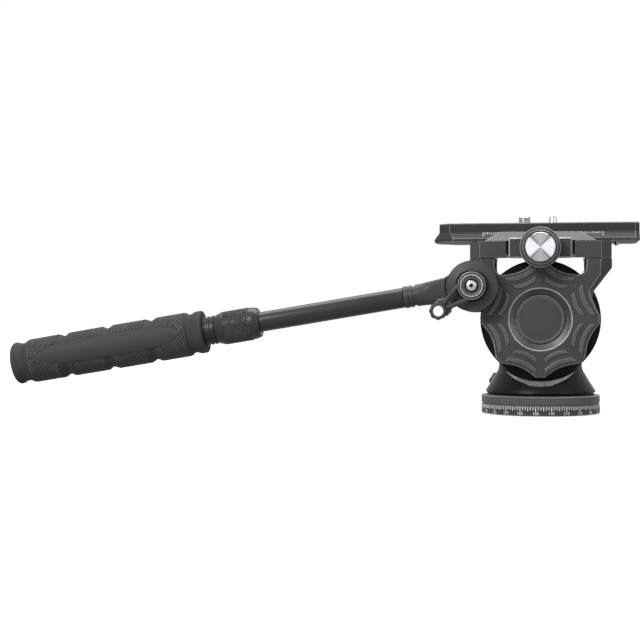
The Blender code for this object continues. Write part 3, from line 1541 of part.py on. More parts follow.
def grip():
    """Rubber grip: flange, body and end flange with grooves between, notched above and below."""
    bore = SLEEVE_RADIUS + SEAT
    bore_end = SLEEVE_END + SEAT
    profile = [
        (0, GRIP_END + GRIP_DOME),
        (GRIP_FLANGE_RADIUS / 2, GRIP_END + GRIP_DOME * 3 / 4),
        (GRIP_FLANGE_RADIUS - GRIP_ROUND, GRIP_END),
        (GRIP_FLANGE_RADIUS, GRIP_END - GRIP_ROUND),
        (GRIP_FLANGE_RADIUS, GRIP_END_FLANGE + GRIP_ROUND),
        (GRIP_GROOVE_RADIUS, GRIP_END_FLANGE),
        (GRIP_GROOVE_RADIUS, GRIP_BODY_END + GRIP_ROUND),
        (GRIP_RADIUS, GRIP_BODY_END),
        (GRIP_RADIUS, GRIP_BODY_START),
        (GRIP_GROOVE_RADIUS, GRIP_BODY_START - GRIP_ROUND),
        (GRIP_GROOVE_RADIUS, GRIP_FLANGE_END + GRIP_ROUND),
        (GRIP_FLANGE_RADIUS, GRIP_FLANGE_END),
        (GRIP_FLANGE_RADIUS, GRIP_START + SEAT),
        (bore, GRIP_START + SEAT),
        (bore, bore_end),
        (0, bore_end),
    ]
    body = turned("grip", profile, MEDIUM, HANDLE)
    reach = GRIP_RADIUS - NOTCH_DEPTH + NOTCH_RADIUS
    for i in range(NOTCH_COUNT):
        along = FIRST_NOTCH + i * NOTCH_PITCH
        for name, way in (("upper", 1), ("lower", -1)):
            axis = HANDLE @ Matrix.Translation((way * reach, 0, along)) @ NEAR
            half = GRIP_RADIUS + OVERRUN
            cut(body, rod(f"{name}_notch_{i}", NOTCH_RADIUS, -half, half, TINY, axis))
    return body


# The handle's lock lever.

def lever_rod(name, start, end, radius):
    """A bar of the lever between two points given about the hub, at the lever's mid depth."""
    depth = (LEVER_BACK + LEVER_FRONT) / 2 + FINGER_HALF / 2
    first = Vector((start[0], start[1], depth))
    last = Vector((end[0], end[1], depth))
    turn = (last - first).to_track_quat("Z", "Y").to_matrix().to_4x4()
    axis = LEVER_AXIS @ Matrix.Translation(first) @ turn
    return rod(name, radius, 0, (last - first).length, TINY, axis)


def lock_lever():
    step = LEVER_FRONT - LEVER_STEP
    socket = LEVER_BACK + LEVER_STUD_DEPTH
    bore = STUD_RADIUS + RUNNING
    hub = turned(
        "lock_lever",
        [
            (0, LEVER_FRONT - LEVER_DISH),
            (LEVER_DISH_RADIUS - LEVER_DISH, LEVER_FRONT - LEVER_DISH),
            (LEVER_DISH_RADIUS, LEVER_FRONT),
            (LEVER_STEP_RADIUS, LEVER_FRONT),
            (LEVER_STEP_RADIUS, step),
            (LEVER_RADIUS - LEVER_STEP / 2, step),
            (LEVER_RADIUS, step - LEVER_STEP / 2),
            (LEVER_RADIUS, LEVER_BACK),
            (bore, LEVER_BACK),
            (bore, socket),
            (0, socket),
        ],
        SMALL,
        LEVER_AXIS,
    )
    centre = Vector((FINGER_X, FINGER_Z))
    way = centre.normalized()
    across = Vector((-way.y, way.x))
    neck = centre - way * FINGER_RADIUS
    depth = (LEVER_BACK + LEVER_FRONT) / 2 + FINGER_HALF / 2
    outline = [
        (centre.x + x, centre.y + y)
        for x, y in lobed(FINGER_RADIUS, FINGER_LOBE, FINGER_LOBES, FINGER_LOBE_STEPS)
    ]
    hole = circle(FINGER_HOLE, TINY, centre.x, centre.y)
    ring = extruded("finger_ring", [outline, hole], depth - FINGER_HALF, depth + FINGER_HALF, LEVER_AXIS)
    collar = way * LEVER_COLLAR_LENGTH
    root = way * LEVER_DISH_RADIUS
    for name, hand in (("upper", -1), ("lower", 1)):
        start = root + across * hand * LEVER_BAR_SPREAD
        end = neck + across * hand * LEVER_BAR_NECK / 2
        fuse(hub, lever_rod(name + "_bar", start, end, LEVER_BAR_RADIUS))
    fuse(hub, lever_rod("ring_collar", neck - collar, neck + collar, LEVER_COLLAR_RADIUS), ring)
    return hub


def lever_cap():
    low = LEVER_FRONT - LEVER_DISH + SEAT
    return turned(
        "lever_cap",
        [
            (0, LEVER_CAP_FRONT),
            (LEVER_CAP_RADIUS / 2, LEVER_CAP_FRONT),
            (LEVER_CAP_RADIUS, LEVER_CAP_FRONT - STOP_EDGE),
            (LEVER_CAP_RADIUS, low),
            (0, low),
        ],
        SMALL,
        LEVER_AXIS,
    )


# The tilt and pan locks.

def tilt_lock_knob():
    outline = lobed(TILT_KNOB_RADIUS, TILT_KNOB_LOBE, TILT_KNOB_LOBES, TILT_KNOB_LOBE_STEPS)
    back = TILT_KNOB_BACK
    front = TILT_KNOB_FRONT
    axis = TILT @ FAR
    knob = lobed_knob("tilt_lock_knob", outline, back, front, TILT_KNOB_EDGE, axis)
    hub_low = HUB_FLOOR + TILT_WASHER_HEIGHT + 2 * SEAT
    dimple_floor = front - TILT_KNOB_DIMPLE_DEPTH
    bore_end = FAR_STUB_END + SEAT
    fuse(knob, rod("tilt_knob_hub", TILT_HUB_RADIUS, hub_low, back + OVERRUN, SMALL, axis))
    cut(
        knob,
        rod("tilt_knob_bore", STUB_RADIUS + RUNNING, 0, bore_end, TINY, axis),
        rod("tilt_knob_dimple", TILT_KNOB_DIMPLE, dimple_floor, front + OVERRUN, SMALL, axis),
    )
    return knob


def tilt_washer():
    low = HUB_FLOOR + SEAT
    high = low + TILT_WASHER_HEIGHT
    inner = STUB_RADIUS + RUNNING
    return sleeve("tilt_washer", inner, TILT_WASHER_RADIUS, low, high, TINY, TILT @ FAR)


def pan_lock_knob():
    outline = lobed(PAN_LOCK_KNOB_RADIUS, PAN_LOCK_LOBE, PAN_LOCK_LOBES, PAN_LOCK_LOBE_STEPS)
    start = PAN_LOCK_KNOB_START
    axis = pan_lock_axis()
    knob = lobed_knob("pan_lock_knob", outline, start, PAN_LOCK_KNOB_END, PAN_LOCK_EDGE, axis)
    bore = PAN_LOCK_SCREW_RADIUS + SEAT
    cut(knob, rod("pan_knob_bore", bore, 0, PAN_LOCK_SCREW_END + SEAT, TINY, axis))
    return knob


def pan_lock_screw():
    low = PAN_LOCK_SCREW_START
    return rod("pan_lock_screw", PAN_LOCK_SCREW_RADIUS, low, PAN_LOCK_SCREW_END, TINY, pan_lock_axis())


# Assembly: what each body carries, and where its joint's axis passes.

def bodies():
    handle_way = HANDLE.to_3x3() @ Vector((0, 0, 1))
    at_collar = HANDLE.translation + handle_way * COLLAR_START
    at_grip = HANDLE.translation + handle_way * GRIP_START
    bolts = [clamp_bolt(f"clamp_bolt_{i + 1}", *place) for i, place in enumerate(BOLT_PLACES)]
    return {
        "base": (
            (0, 0, 0),
            [(base_plate(), BLACK_METAL), (base_ring(), BLACK_METAL), (thread_bush(), STEEL)],
        ),
        "pan_body": (
            (0, 0, 0),
            [
                (pan_bearing(), NYLON),
                (pan_washer(), STEEL),
                (pan_nut(), STEEL),
                (pan_ring(), BLACK_METAL),
                (housing(), BLACK_METAL),
                (drum_cover("near_drum_cover", NEAR), BLACK_METAL),
                (drum_cover("far_drum_cover", FAR), BLACK_METAL),
                (tilt_bearing("near_tilt_bearing", NEAR), BRONZE),
                (tilt_bearing("far_tilt_bearing", FAR), BRONZE),
            ],
        ),
        "pan_lock": (
            (0, 0, PAN_LOCK_HEIGHT),
            [(pan_lock_screw(), STEEL), (pan_lock_knob(), BLACK_METAL)],
        ),
        "yoke": (
            (0, 0, TILT_HEIGHT),
            [
                (tilt_axle(), STEEL),
                (damper_rotor(), STEEL),
                (cheek("near_cheek", -1, NEAR), BLACK_METAL),
                (cheek("far_cheek", 1, FAR), BLACK_METAL),
                (hub_cover(), GREY_METAL),
                (axle_nut(), STEEL),
                (tilt_washer(), STEEL),
                (handle_stud(), STEEL),
                (clamp_body(), GREY_METAL),
                (guide_pin("rear_guide_pin", -GUIDE_X), STEEL),
                (guide_pin("front_guide_pin", GUIDE_X), STEEL),
            ]
            + [(bolt, STEEL) for bolt in bolts],
        ),
        "tilt_lock": ((0, 0, TILT_HEIGHT), [(tilt_lock_knob(), BLACK_METAL)]),
        "jaw": ((0, 0, KNOB_HEIGHT), [(clamp_jaw(), GREY_METAL)]),
        "knob": (
            (0, 0, KNOB_HEIGHT),
            [(clamp_screw(), STEEL), (clamp_knob(), GREY_METAL), (knob_disc(), SPUN)],
        ),
        "plate": ((0, 0, FLANGE_BOTTOM), [(release_plate(), GREY_METAL), (plate_pad(), RUBBER)]),
        "camera_screw": ((SCREW_X, 0, FLANGE_BOTTOM), [(camera_screw(), STEEL)]),
        "video_pin": ((PIN_X, 0, FLANGE_BOTTOM), [(video_pin(), STEEL)]),
        "stop_pin": ((STOP_X, 0, FLANGE_BOTTOM), [(stop_pin(), STEEL)]),
        "handle": (tuple(ROSETTE), [(handle_arm(), BLACK_METAL), (handle_tube(), BLACK_METAL)]),
        "lever": (tuple(ROSETTE), [(lock_lever(), BLACK_METAL), (lever_cap(), STEEL)]),
        "extension": (tuple(at_grip), [(grip_sleeve(), BLACK_METAL), (collet(), NYLON), (grip(), RUBBER)]),
        "collar": (tuple(at_collar), [(extension_collar(), BLACK_METAL)]),
    }


def finish(obj, look):
    colour, roughness, metallic = look
    material = bpy.data.materials.new(obj.name)
    material.use_nodes = True
    shader = material.node_tree.nodes["Principled BSDF"]
    shader.inputs["Base Color"].default_value = (*colour, 1)
    shader.inputs["Roughness"].default_value = roughness
    shader.inputs["Metallic"].default_value = metallic
    obj.data.materials.append(material)


def settle(parts):
    """Turns each part's modifiers into its mesh, shaded smooth up to its sharp edges."""
    bpy.context.view_layer.update()
    graph = bpy.context.evaluated_depsgraph_get()
    meshes = [bpy.data.meshes.new_from_object(part.evaluated_get(graph)) for part in parts]
    for part, mesh in zip(parts, meshes):
        part.modifiers.clear()
        part.data = mesh
        mesh.shade_smooth()
        mesh.set_sharp_from_angle(angle=SHARP)


def assemble():
    parts = []
    for name, (place, pieces) in bodies().items():
        hinge = bpy.data.objects.new(name + "_axis", None)
        hinge.location = place
        HEAD.objects.link(hinge)
        for obj, look in pieces:
            HEAD.objects.link(obj)
            obj.parent = hinge
            obj.matrix_parent_inverse = Matrix.Translation(place).inverted()
            finish(obj, look)
            parts.append(obj)
    settle(parts)


assemble()
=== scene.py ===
import bpy
import math
from mathutils import Matrix, Vector


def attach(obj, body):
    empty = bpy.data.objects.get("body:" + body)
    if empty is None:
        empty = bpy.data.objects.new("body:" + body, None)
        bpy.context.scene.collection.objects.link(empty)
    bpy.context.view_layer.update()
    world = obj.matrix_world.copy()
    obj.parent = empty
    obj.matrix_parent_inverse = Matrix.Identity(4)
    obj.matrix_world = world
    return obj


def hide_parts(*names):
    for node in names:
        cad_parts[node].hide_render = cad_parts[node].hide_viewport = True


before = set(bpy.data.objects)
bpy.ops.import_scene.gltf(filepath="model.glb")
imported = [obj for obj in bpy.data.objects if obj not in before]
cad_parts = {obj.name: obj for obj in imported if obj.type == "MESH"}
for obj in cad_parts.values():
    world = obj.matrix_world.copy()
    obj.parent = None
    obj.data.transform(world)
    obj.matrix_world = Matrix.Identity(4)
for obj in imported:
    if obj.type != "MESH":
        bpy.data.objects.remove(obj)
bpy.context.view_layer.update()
mm = 0.001
print("frame loaded,", len(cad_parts), "solids")

# Places of the head's axes, in millimetres and degrees
axes = {"tilt": 48.0, "knob": 83.3, "leverX": -33.3, "leverZ": 64.5, "handleY": -31.3, "handleTip": 9.5,
        "panLock": 14.5, "panLockTurn": 125}
toNear = Matrix.Rotation(math.pi / 2, 4, "X")
toFar = Matrix.Rotation(-math.pi / 2, 4, "X")
toSide = Matrix.Rotation(math.pi / 2, 4, "Y")


def axisAt(x, y, z, turn=Matrix()):
    return Matrix.Translation((x * mm, y * mm, z * mm)) @ turn


# A local Z points out of the piece along its axis
nearTilt = axisAt(0, 0, axes["tilt"], toNear)
farTilt = axisAt(0, 0, axes["tilt"], toFar)
knobAxis = axisAt(0, 0, axes["knob"], toNear)
leverAxis = axisAt(axes["leverX"], 0, axes["leverZ"], toNear)
tipCos, tipSin = math.cos(math.radians(axes["handleTip"])), math.sin(math.radians(axes["handleTip"]))
handleAxis = axisAt(axes["leverX"], axes["handleY"], axes["leverZ"], Matrix((
    (-tipSin, 0, -tipCos, 0), (0, 1, 0, 0), (tipCos, 0, -tipSin, 0), (0, 0, 0, 1))))
panLockTurn = Matrix.Rotation(math.radians(axes["panLockTurn"]), 4, "Z") @ toSide
panLockAxis = axisAt(0, 0, axes["panLock"], panLockTurn)


def reachOf(at):
    return math.hypot(at.x, at.y)


def fromTilt(at):
    return math.hypot(at.x, at.z - axes["tilt"])


def fromLever(at):
    return math.hypot(at.x - axes["leverX"], at.z - axes["leverZ"])


# Working by hand, in small steps
def toObject():
    if bpy.context.object and bpy.context.object.mode != "OBJECT":
        bpy.ops.object.mode_set(mode="OBJECT")


def clearSelection():
    toObject()
    bpy.ops.object.select_all(action="DESELECT")


def pickUp(piece):
    clearSelection()
    piece.select_set(True)
    bpy.context.view_layer.objects.active = piece


def editAll():
    bpy.ops.object.mode_set(mode="EDIT")
    bpy.ops.mesh.select_mode(type="VERT")
    bpy.ops.mesh.select_all(action="SELECT")


def named(name):
    piece = bpy.context.object
    piece.name = piece.data.name = name
    return piece


def settle(piece, place=None):
    # puts a piece in its place and leaves its object at the origin
    if place is not None:
        piece.matrix_world = place
    pickUp(piece)
    bpy.ops.object.transform_apply(location=True, rotation=True, scale=True)
    return piece


def closeUp(piece, place=None):
    bpy.ops.mesh.select_all(action="SELECT")
    bpy.ops.mesh.normals_make_consistent(inside=False)
    toObject()
    return settle(piece, place)


def raiseFace(rise, share=1.0):
    # draws the selection up, and widens or narrows it about the axis
    bpy.ops.mesh.extrude_region_move(TRANSFORM_OT_translate={"value": (0, 0, rise * mm)})
    if abs(share - 1) > 1e-6:
        bpy.ops.transform.resize(value=(share, share, 1), center_override=(0, 0, 0))


def ringStart(name, radius, height, steps, filled):
    clearSelection()
    bpy.ops.mesh.primitive_circle_add(vertices=steps, radius=radius * mm, location=(0, 0, height * mm),
                                      fill_type="NGON" if filled else "NOTHING")
    piece = named(name)
    bpy.ops.object.transform_apply(location=True, rotation=True, scale=True)
    editAll()
    return piece


def turnPiece(name, profile, steps, place=None, hollow=False):
    # (radius, height) points in millimetres, up the outside, and a hollow piece ends where it began
    piece = ringStart(name, *profile[0], steps, not hollow)
    path = profile + [profile[0]] if hollow else profile
    for (r0, z0), (r1, z1) in zip(path, path[1:]):
        raiseFace(z1 - z0, r1 / r0)
    bpy.ops.mesh.select_all(action="SELECT")
    if hollow:
        bpy.ops.mesh.remove_doubles(threshold=1e-6)
    return closeUp(piece, place)


def traceOutline(name, points, height):
    # a flat outline drawn point after point, then filled
    clearSelection()
    bpy.ops.mesh.primitive_plane_add(size=mm)
    piece = named(name)
    editAll()
    bpy.ops.mesh.merge(type="CENTER")
    bpy.ops.transform.translate(value=(points[0][0] * mm, points[0][1] * mm, height * mm))
    for (x0, y0), (x1, y1) in zip(points, points[1:]):
        step = ((x1 - x0) * mm, (y1 - y0) * mm, 0)
        bpy.ops.mesh.extrude_vertices_move(TRANSFORM_OT_translate={"value": step})
    bpy.ops.mesh.select_all(action="SELECT")
    bpy.ops.mesh.edge_face_add()
    bpy.ops.mesh.select_all(action="SELECT")
    piece.update_from_editmode()
    if piece.data.polygons[0].normal.z < 0:
        bpy.ops.mesh.flip_normals()
    return piece


def fitOutline(piece, before, after):
    # the picked ring of points goes from one outline to another with as many points
    toObject()
    for v in piece.data.vertices:
        if v.select:
            gaps = [(x * mm - v.co.x) ** 2 + (y * mm - v.co.y) ** 2 for x, y in before]
            x, y = after[gaps.index(min(gaps))]
            v.co.x, v.co.y = x * mm, y * mm
    bpy.ops.object.mode_set(mode="EDIT")


def plateOf(name, outline, low, high, place=None, chamfer=0.0):
    piece = traceOutline(name, outline, low)
    raiseFace(high - low - chamfer)
    if chamfer:
        bpy.ops.mesh.inset(thickness=chamfer * mm, depth=chamfer * mm)
    return closeUp(piece, place)


def blockOf(name, low, high):
    clearSelection()
    bpy.ops.mesh.primitive_cube_add(size=1, location=[(a + b) / 2 * mm for a, b in zip(low, high)],
                                    scale=[(b - a) * mm for a, b in zip(low, high)])
    piece = named(name)
    bpy.ops.object.transform_apply(location=True, rotation=True, scale=True)
    return piece


def bringIn(piece, operation, tools):
    for tool in tools:
        pickUp(piece)
        step = piece.modifiers.new("join", "BOOLEAN")
        step.operation, step.solver, step.object = operation, "EXACT", tool
        bpy.ops.object.modifier_apply(modifier=step.name)
        mesh = tool.data
        bpy.data.objects.remove(tool)
        bpy.data.meshes.remove(mesh)
    return piece


def cutAway(piece, *tools):
    return bringIn(piece, "DIFFERENCE", tools)


def weld(piece, *tools):
    return bringIn(piece, "UNION", tools)


def drill(piece, profile, steps, place=None, hollow=False):
    # takes a turned shape out of a piece
    return cutAway(piece, turnPiece("drill", profile, steps, place, hollow))


def drillHole(piece, hole, steps, place=None):
    radius, low, high = hole
    return drill(piece, [(radius, low), (radius, high)], steps, place)


def joinPieces(pieces, name=None):
    pickUp(pieces[0])
    for other in pieces[1:]:
        other.select_set(True)
    bpy.ops.object.join()
    if name:
        pieces[0].name = name
    return pieces[0]


def copyOf(piece, name, place):
    twin = piece.copy()
    twin.data = piece.data.copy()
    twin.name = twin.data.name = name
    bpy.context.collection.objects.link(twin)
    return settle(twin, place)


def softEdges(piece, width, angle=32, segments=1, slot=1):
    # breaks the sharp edges, and the new faces take the paler edge finish: wear with a painted highlight
    pickUp(piece)
    step = piece.modifiers.new("edges", "BEVEL")
    step.width, step.segments = width * mm, segments
    step.limit_method, step.angle_limit = "ANGLE", math.radians(angle)
    step.material = slot
    step.use_clamp_overlap = True
    bpy.ops.object.modifier_apply(modifier=step.name)
    return piece


def giveFinishes(piece, *finishes):
    for finish in finishes:
        piece.data.materials.append(finish)


def paintFaces(piece, slot, test):
    for face in piece.data.polygons:
        if test(face.center / mm, face.normal):
            face.material_index = slot


def paintBevels(piece):
    # the chamfers of an upright turned piece get the pale edge finish: wear with a painted highlight
    paintFaces(piece, 1, lambda at, normal: 0.4 < abs(normal.z) < 0.9)


def finishPiece(piece, finishes, body, nodes, edge=0.0, angle=32, smooth=35):
    giveFinishes(piece, *finishes)
    if edge:
        softEdges(piece, edge, angle, slot=min(1, len(finishes) - 1))
    pickUp(piece)
    bpy.ops.object.shade_smooth_by_angle(angle=math.radians(smooth))
    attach(piece, body)
    if nodes:
        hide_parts(*nodes)
    return piece


def pickFaces(piece, test):
    # selects faces by their place, and goes back into edit mode in face mode
    bpy.ops.object.mode_set(mode="EDIT")
    bpy.ops.mesh.select_mode(type="FACE")
    bpy.ops.mesh.select_all(action="DESELECT")
    toObject()
    for face in piece.data.polygons:
        face.select = bool(test(face.center / mm, face))
    bpy.ops.object.mode_set(mode="EDIT")


def polar(radius, turn):
    return radius * math.cos(turn), radius * math.sin(turn)


def lobedOutline(radius, lobe, lobes, perLobe, x=0.0, y=0.0):
    outline = []
    for i in range(lobes * perLobe):
        turn = 2 * math.pi * i / (lobes * perLobe)
        px, py = polar(radius + lobe * math.cos(lobes * turn), turn)
        outline.append((x + px, y + py))
    return outline


def easeOf(share):
    return share * share * (3 - 2 * share)


# Finishes: the parts of their node trees first
def linkUp(tree, node, links):
    for key, source in links.items():
        tree.links.new(source, node.inputs[key])


def addNode(tree, kind, settings=None, values=None, links=None):
    node = tree.nodes.new("ShaderNode" + kind)
    for key, value in (settings or {}).items():
        setattr(node, key, value)
    for key, value in (values or {}).items():
        node.inputs[key].default_value = value
    linkUp(tree, node, links or {})
    return node


def addMath(tree, operation, links, values=None):
    return addNode(tree, "Math", {"operation": operation}, values, links).outputs[0]


def addRange(tree, source, values, links=None):
    return addNode(tree, "MapRange", values=values, links={"Value": source, **(links or {})}).outputs[0]


def addTint(tree, share, low, high):
    return addNode(tree, "Mix", {"data_type": "RGBA"}, links={"Factor": share, 6: low, 7: high}).outputs[2]


def addNoise(tree, spot, scale, detail, rough):
    values = {"Detail": detail, "Roughness": rough}
    return addNode(tree, "TexNoise", values=values, links={"Vector": spot, "Scale": scale}).outputs["Fac"]


def flatten(tree, spot):
    parts = addNode(tree, "SeparateXYZ", links={0: spot})
    return addNode(tree, "CombineXYZ", links={0: parts.outputs[0], 1: parts.outputs[1]}).outputs[0]


def newGroup(name, inputs, outputs):
    group = bpy.data.node_groups.new(name, "ShaderNodeTree")
    for way, sockets in (("INPUT", inputs), ("OUTPUT", outputs)):
        for label, kind in sockets.items():
            group.interface.new_socket(label, in_out=way, socket_type="NodeSocket" + kind)
    return group, group.nodes.new("NodeGroupInput").outputs, group.nodes.new("NodeGroupOutput")


def grainGroup():
    # fine tooth of a blasted or moulded surface, with slow cloudy patches in its tint
    group, given, end = newGroup(
        "fineGrain", {"Vector": "Vector", "Tooth": "Float", "Cloud": "Float", "Dark": "Color",
                      "Light": "Color", "Smooth": "Float", "Rough": "Float"},
        {"Color": "Color", "Roughness": "Float", "Height": "Float"})
    toothShare = 0.35
    tooth = addNoise(group, given["Vector"], given["Tooth"], 3.0, 0.6)
    cloud = addNoise(group, given["Vector"], given["Cloud"], 4.0, 0.55)
    both = addMath(group, "MULTIPLY_ADD", {0: tooth, 2: cloud}, {1: toothShare})
    spread = addRange(group, both, {"From Min": 0.45, "From Max": 0.95})
    tint = addTint(group, spread, given["Dark"], given["Light"])
    rough = addRange(group, spread, {}, {"To Min": given["Smooth"], "To Max": given["Rough"]})
    linkUp(group, end, {"Color": tint, "Roughness": rough, "Height": tooth})
    return group


def ringsGroup():
    # the fine grooves that a lathe leaves about local Z
    group, given, end = newGroup("turnedRings", {"Vector": "Vector", "Pitch": "Float"},
                                 {"Height": "Float", "Mask": "Float"})
    liftShare = 0.25
    reach = addNode(group, "VectorMath", {"operation": "LENGTH"},
                    links={0: flatten(group, given["Vector"])})
    reach = reach.outputs["Value"]
    wander = addNode(group, "TexNoise", {"noise_dimensions": "1D"}, {"Scale": 2600.0, "Detail": 2.0},
                     {"W": reach}).outputs["Fac"]
    wave = addMath(group, "SINE", {0: addMath(group, "MULTIPLY", {0: reach, 1: given["Pitch"]})})
    lift = addMath(group, "MULTIPLY_ADD", {0: wave}, {1: liftShare, 2: liftShare})
    linkUp(group, end, {"Height": addMath(group, "ADD", {0: lift, 1: wander}), "Mask": wander})
    return group


def wearGroup():
    # a pale edge tone: a painted highlight along the edge, with patches of wear
    group, given, end = newGroup(
        "edgeWearAndHighlight", {"Vector": "Vector", "Size": "Float", "Base": "Color", "Worn": "Color"},
        {"Color": "Color", "Mask": "Float"})
    patch = addNoise(group, given["Vector"], given["Size"], 5.0, 0.7)
    mask = addRange(group, patch, {"From Min": 0.35, "From Max": 0.65})
    linkUp(group, end, {"Color": addTint(group, mask, given["Base"], given["Worn"]), "Mask": mask})
    return group


fineGrain, turnedRings, edgeWearAndHighlight = grainGroup(), ringsGroup(), wearGroup()


def grey(value):
    # a plain number is a grey with a touch of blue, and a colour stays as it is
    return value if isinstance(value, tuple) else (value, value, value * 1.02, 1.0)


def newFinish(name):
    finish = bpy.data.materials.new(name)
    finish.use_nodes = True
    tree = finish.node_tree
    shader = tree.nodes["Principled BSDF"]
    place = addNode(tree, "TexCoord")
    return finish, tree, shader, place.outputs["Object"]


def setShader(shader, values):
    for label, value in values.items():
        shader.inputs[label].default_value = value


def addGrain(tree, look, spot):
    return addNode(tree, "Group", {"node_tree": fineGrain}, {
        "Tooth": look["tooth"], "Cloud": look["cloud"], "Dark": grey(look["dark"]),
        "Light": grey(look["light"]), "Smooth": look["smooth"], "Rough": look["rough"]}, {"Vector": spot})


def addBump(tree, look, height):
    values = {"Strength": look["bump"], "Distance": look["depth"] * mm}
    return addNode(tree, "Bump", values=values, links={"Height": height}).outputs[0]


def grainFinish(name, look):
    finish, tree, shader, spot = newFinish(name)
    setShader(shader, {"Metallic": look.get("metal", 0.0), "Specular IOR Level": look.get("shine", 0.5)})
    grain = addGrain(tree, look, spot)
    bump = addBump(tree, look, grain.outputs["Height"])
    linkUp(tree, shader, {"Base Color": grain.outputs["Color"], "Roughness": grain.outputs["Roughness"],
                          "Normal": bump})
    return finish


def turnedFinish(name, look, place):
    # lathe-turned metal about an axis: the Mapping node brings the pattern to the piece
    finish, tree, shader, spot = newFinish(name)
    setShader(shader, {"Metallic": 1.0, "Anisotropic": look.get("drawn", 0.0)})
    back = place.inverted()
    spot = addNode(tree, "Mapping", values={"Location": back.to_translation(), "Rotation": back.to_euler()},
                   links={0: spot}).outputs[0]
    rings = addNode(tree, "Group", {"node_tree": turnedRings}, {"Pitch": look["pitch"]}, {"Vector": spot})
    grain = addGrain(tree, {"tooth": 3000.0, "cloud": 200.0, **look}, spot)
    bump = addBump(tree, {"depth": 0.02, **look}, rings.outputs["Height"])
    tint = grain.outputs["Color"]
    if "paintedFan" in look:
        # a painted sheen: the spun face's two shining sectors are painted into the tint, which follows the
        # square of the direction's cosine
        unit = addNode(tree, "VectorMath", {"operation": "NORMALIZE"}, links={0: flatten(tree, spot)})
        sides = addNode(tree, "SeparateXYZ", links={0: unit.outputs[0]}).outputs[0]
        square = addMath(tree, "MULTIPLY", {0: sides, 1: sides})
        streak = addMath(tree, "MULTIPLY_ADD", {0: rings.outputs["Mask"], 2: square}, {1: look["streak"]})
        paintedSheenRamp = addNode(tree, "ValToRGB", links={0: streak})
        stops = paintedSheenRamp.color_ramp.elements
        for i, (position, value) in enumerate(look["paintedFan"]):
            stop = stops[i] if i < 2 else stops.new(position)
            stop.position, stop.color = position, grey(value)
        tint = addNode(tree, "Mix", {"data_type": "RGBA", "blend_type": "MULTIPLY"}, {0: 1.0},
                       {6: tint, 7: paintedSheenRamp.outputs[0]}).outputs[2]
    linkUp(tree, shader, {"Base Color": tint, "Roughness": grain.outputs["Roughness"], "Normal": bump})
    return finish


# the pale edge tone is a painted highlight, with patches of wear over it
def edgeFinish(name, size, base, worn):
    finish, tree, shader, spot = newFinish(name)
    setShader(shader, {"Metallic": 0.0})
    wear = addNode(tree, "Group", {"node_tree": edgeWearAndHighlight},
                   {"Size": size, "Base": grey(base), "Worn": grey(worn)}, {"Vector": spot})
    rough = addRange(tree, wear.outputs["Mask"], {"To Min": 0.42, "To Max": 0.3})
    linkUp(tree, shader, {"Base Color": wear.outputs["Color"], "Roughness": rough})
    return finish


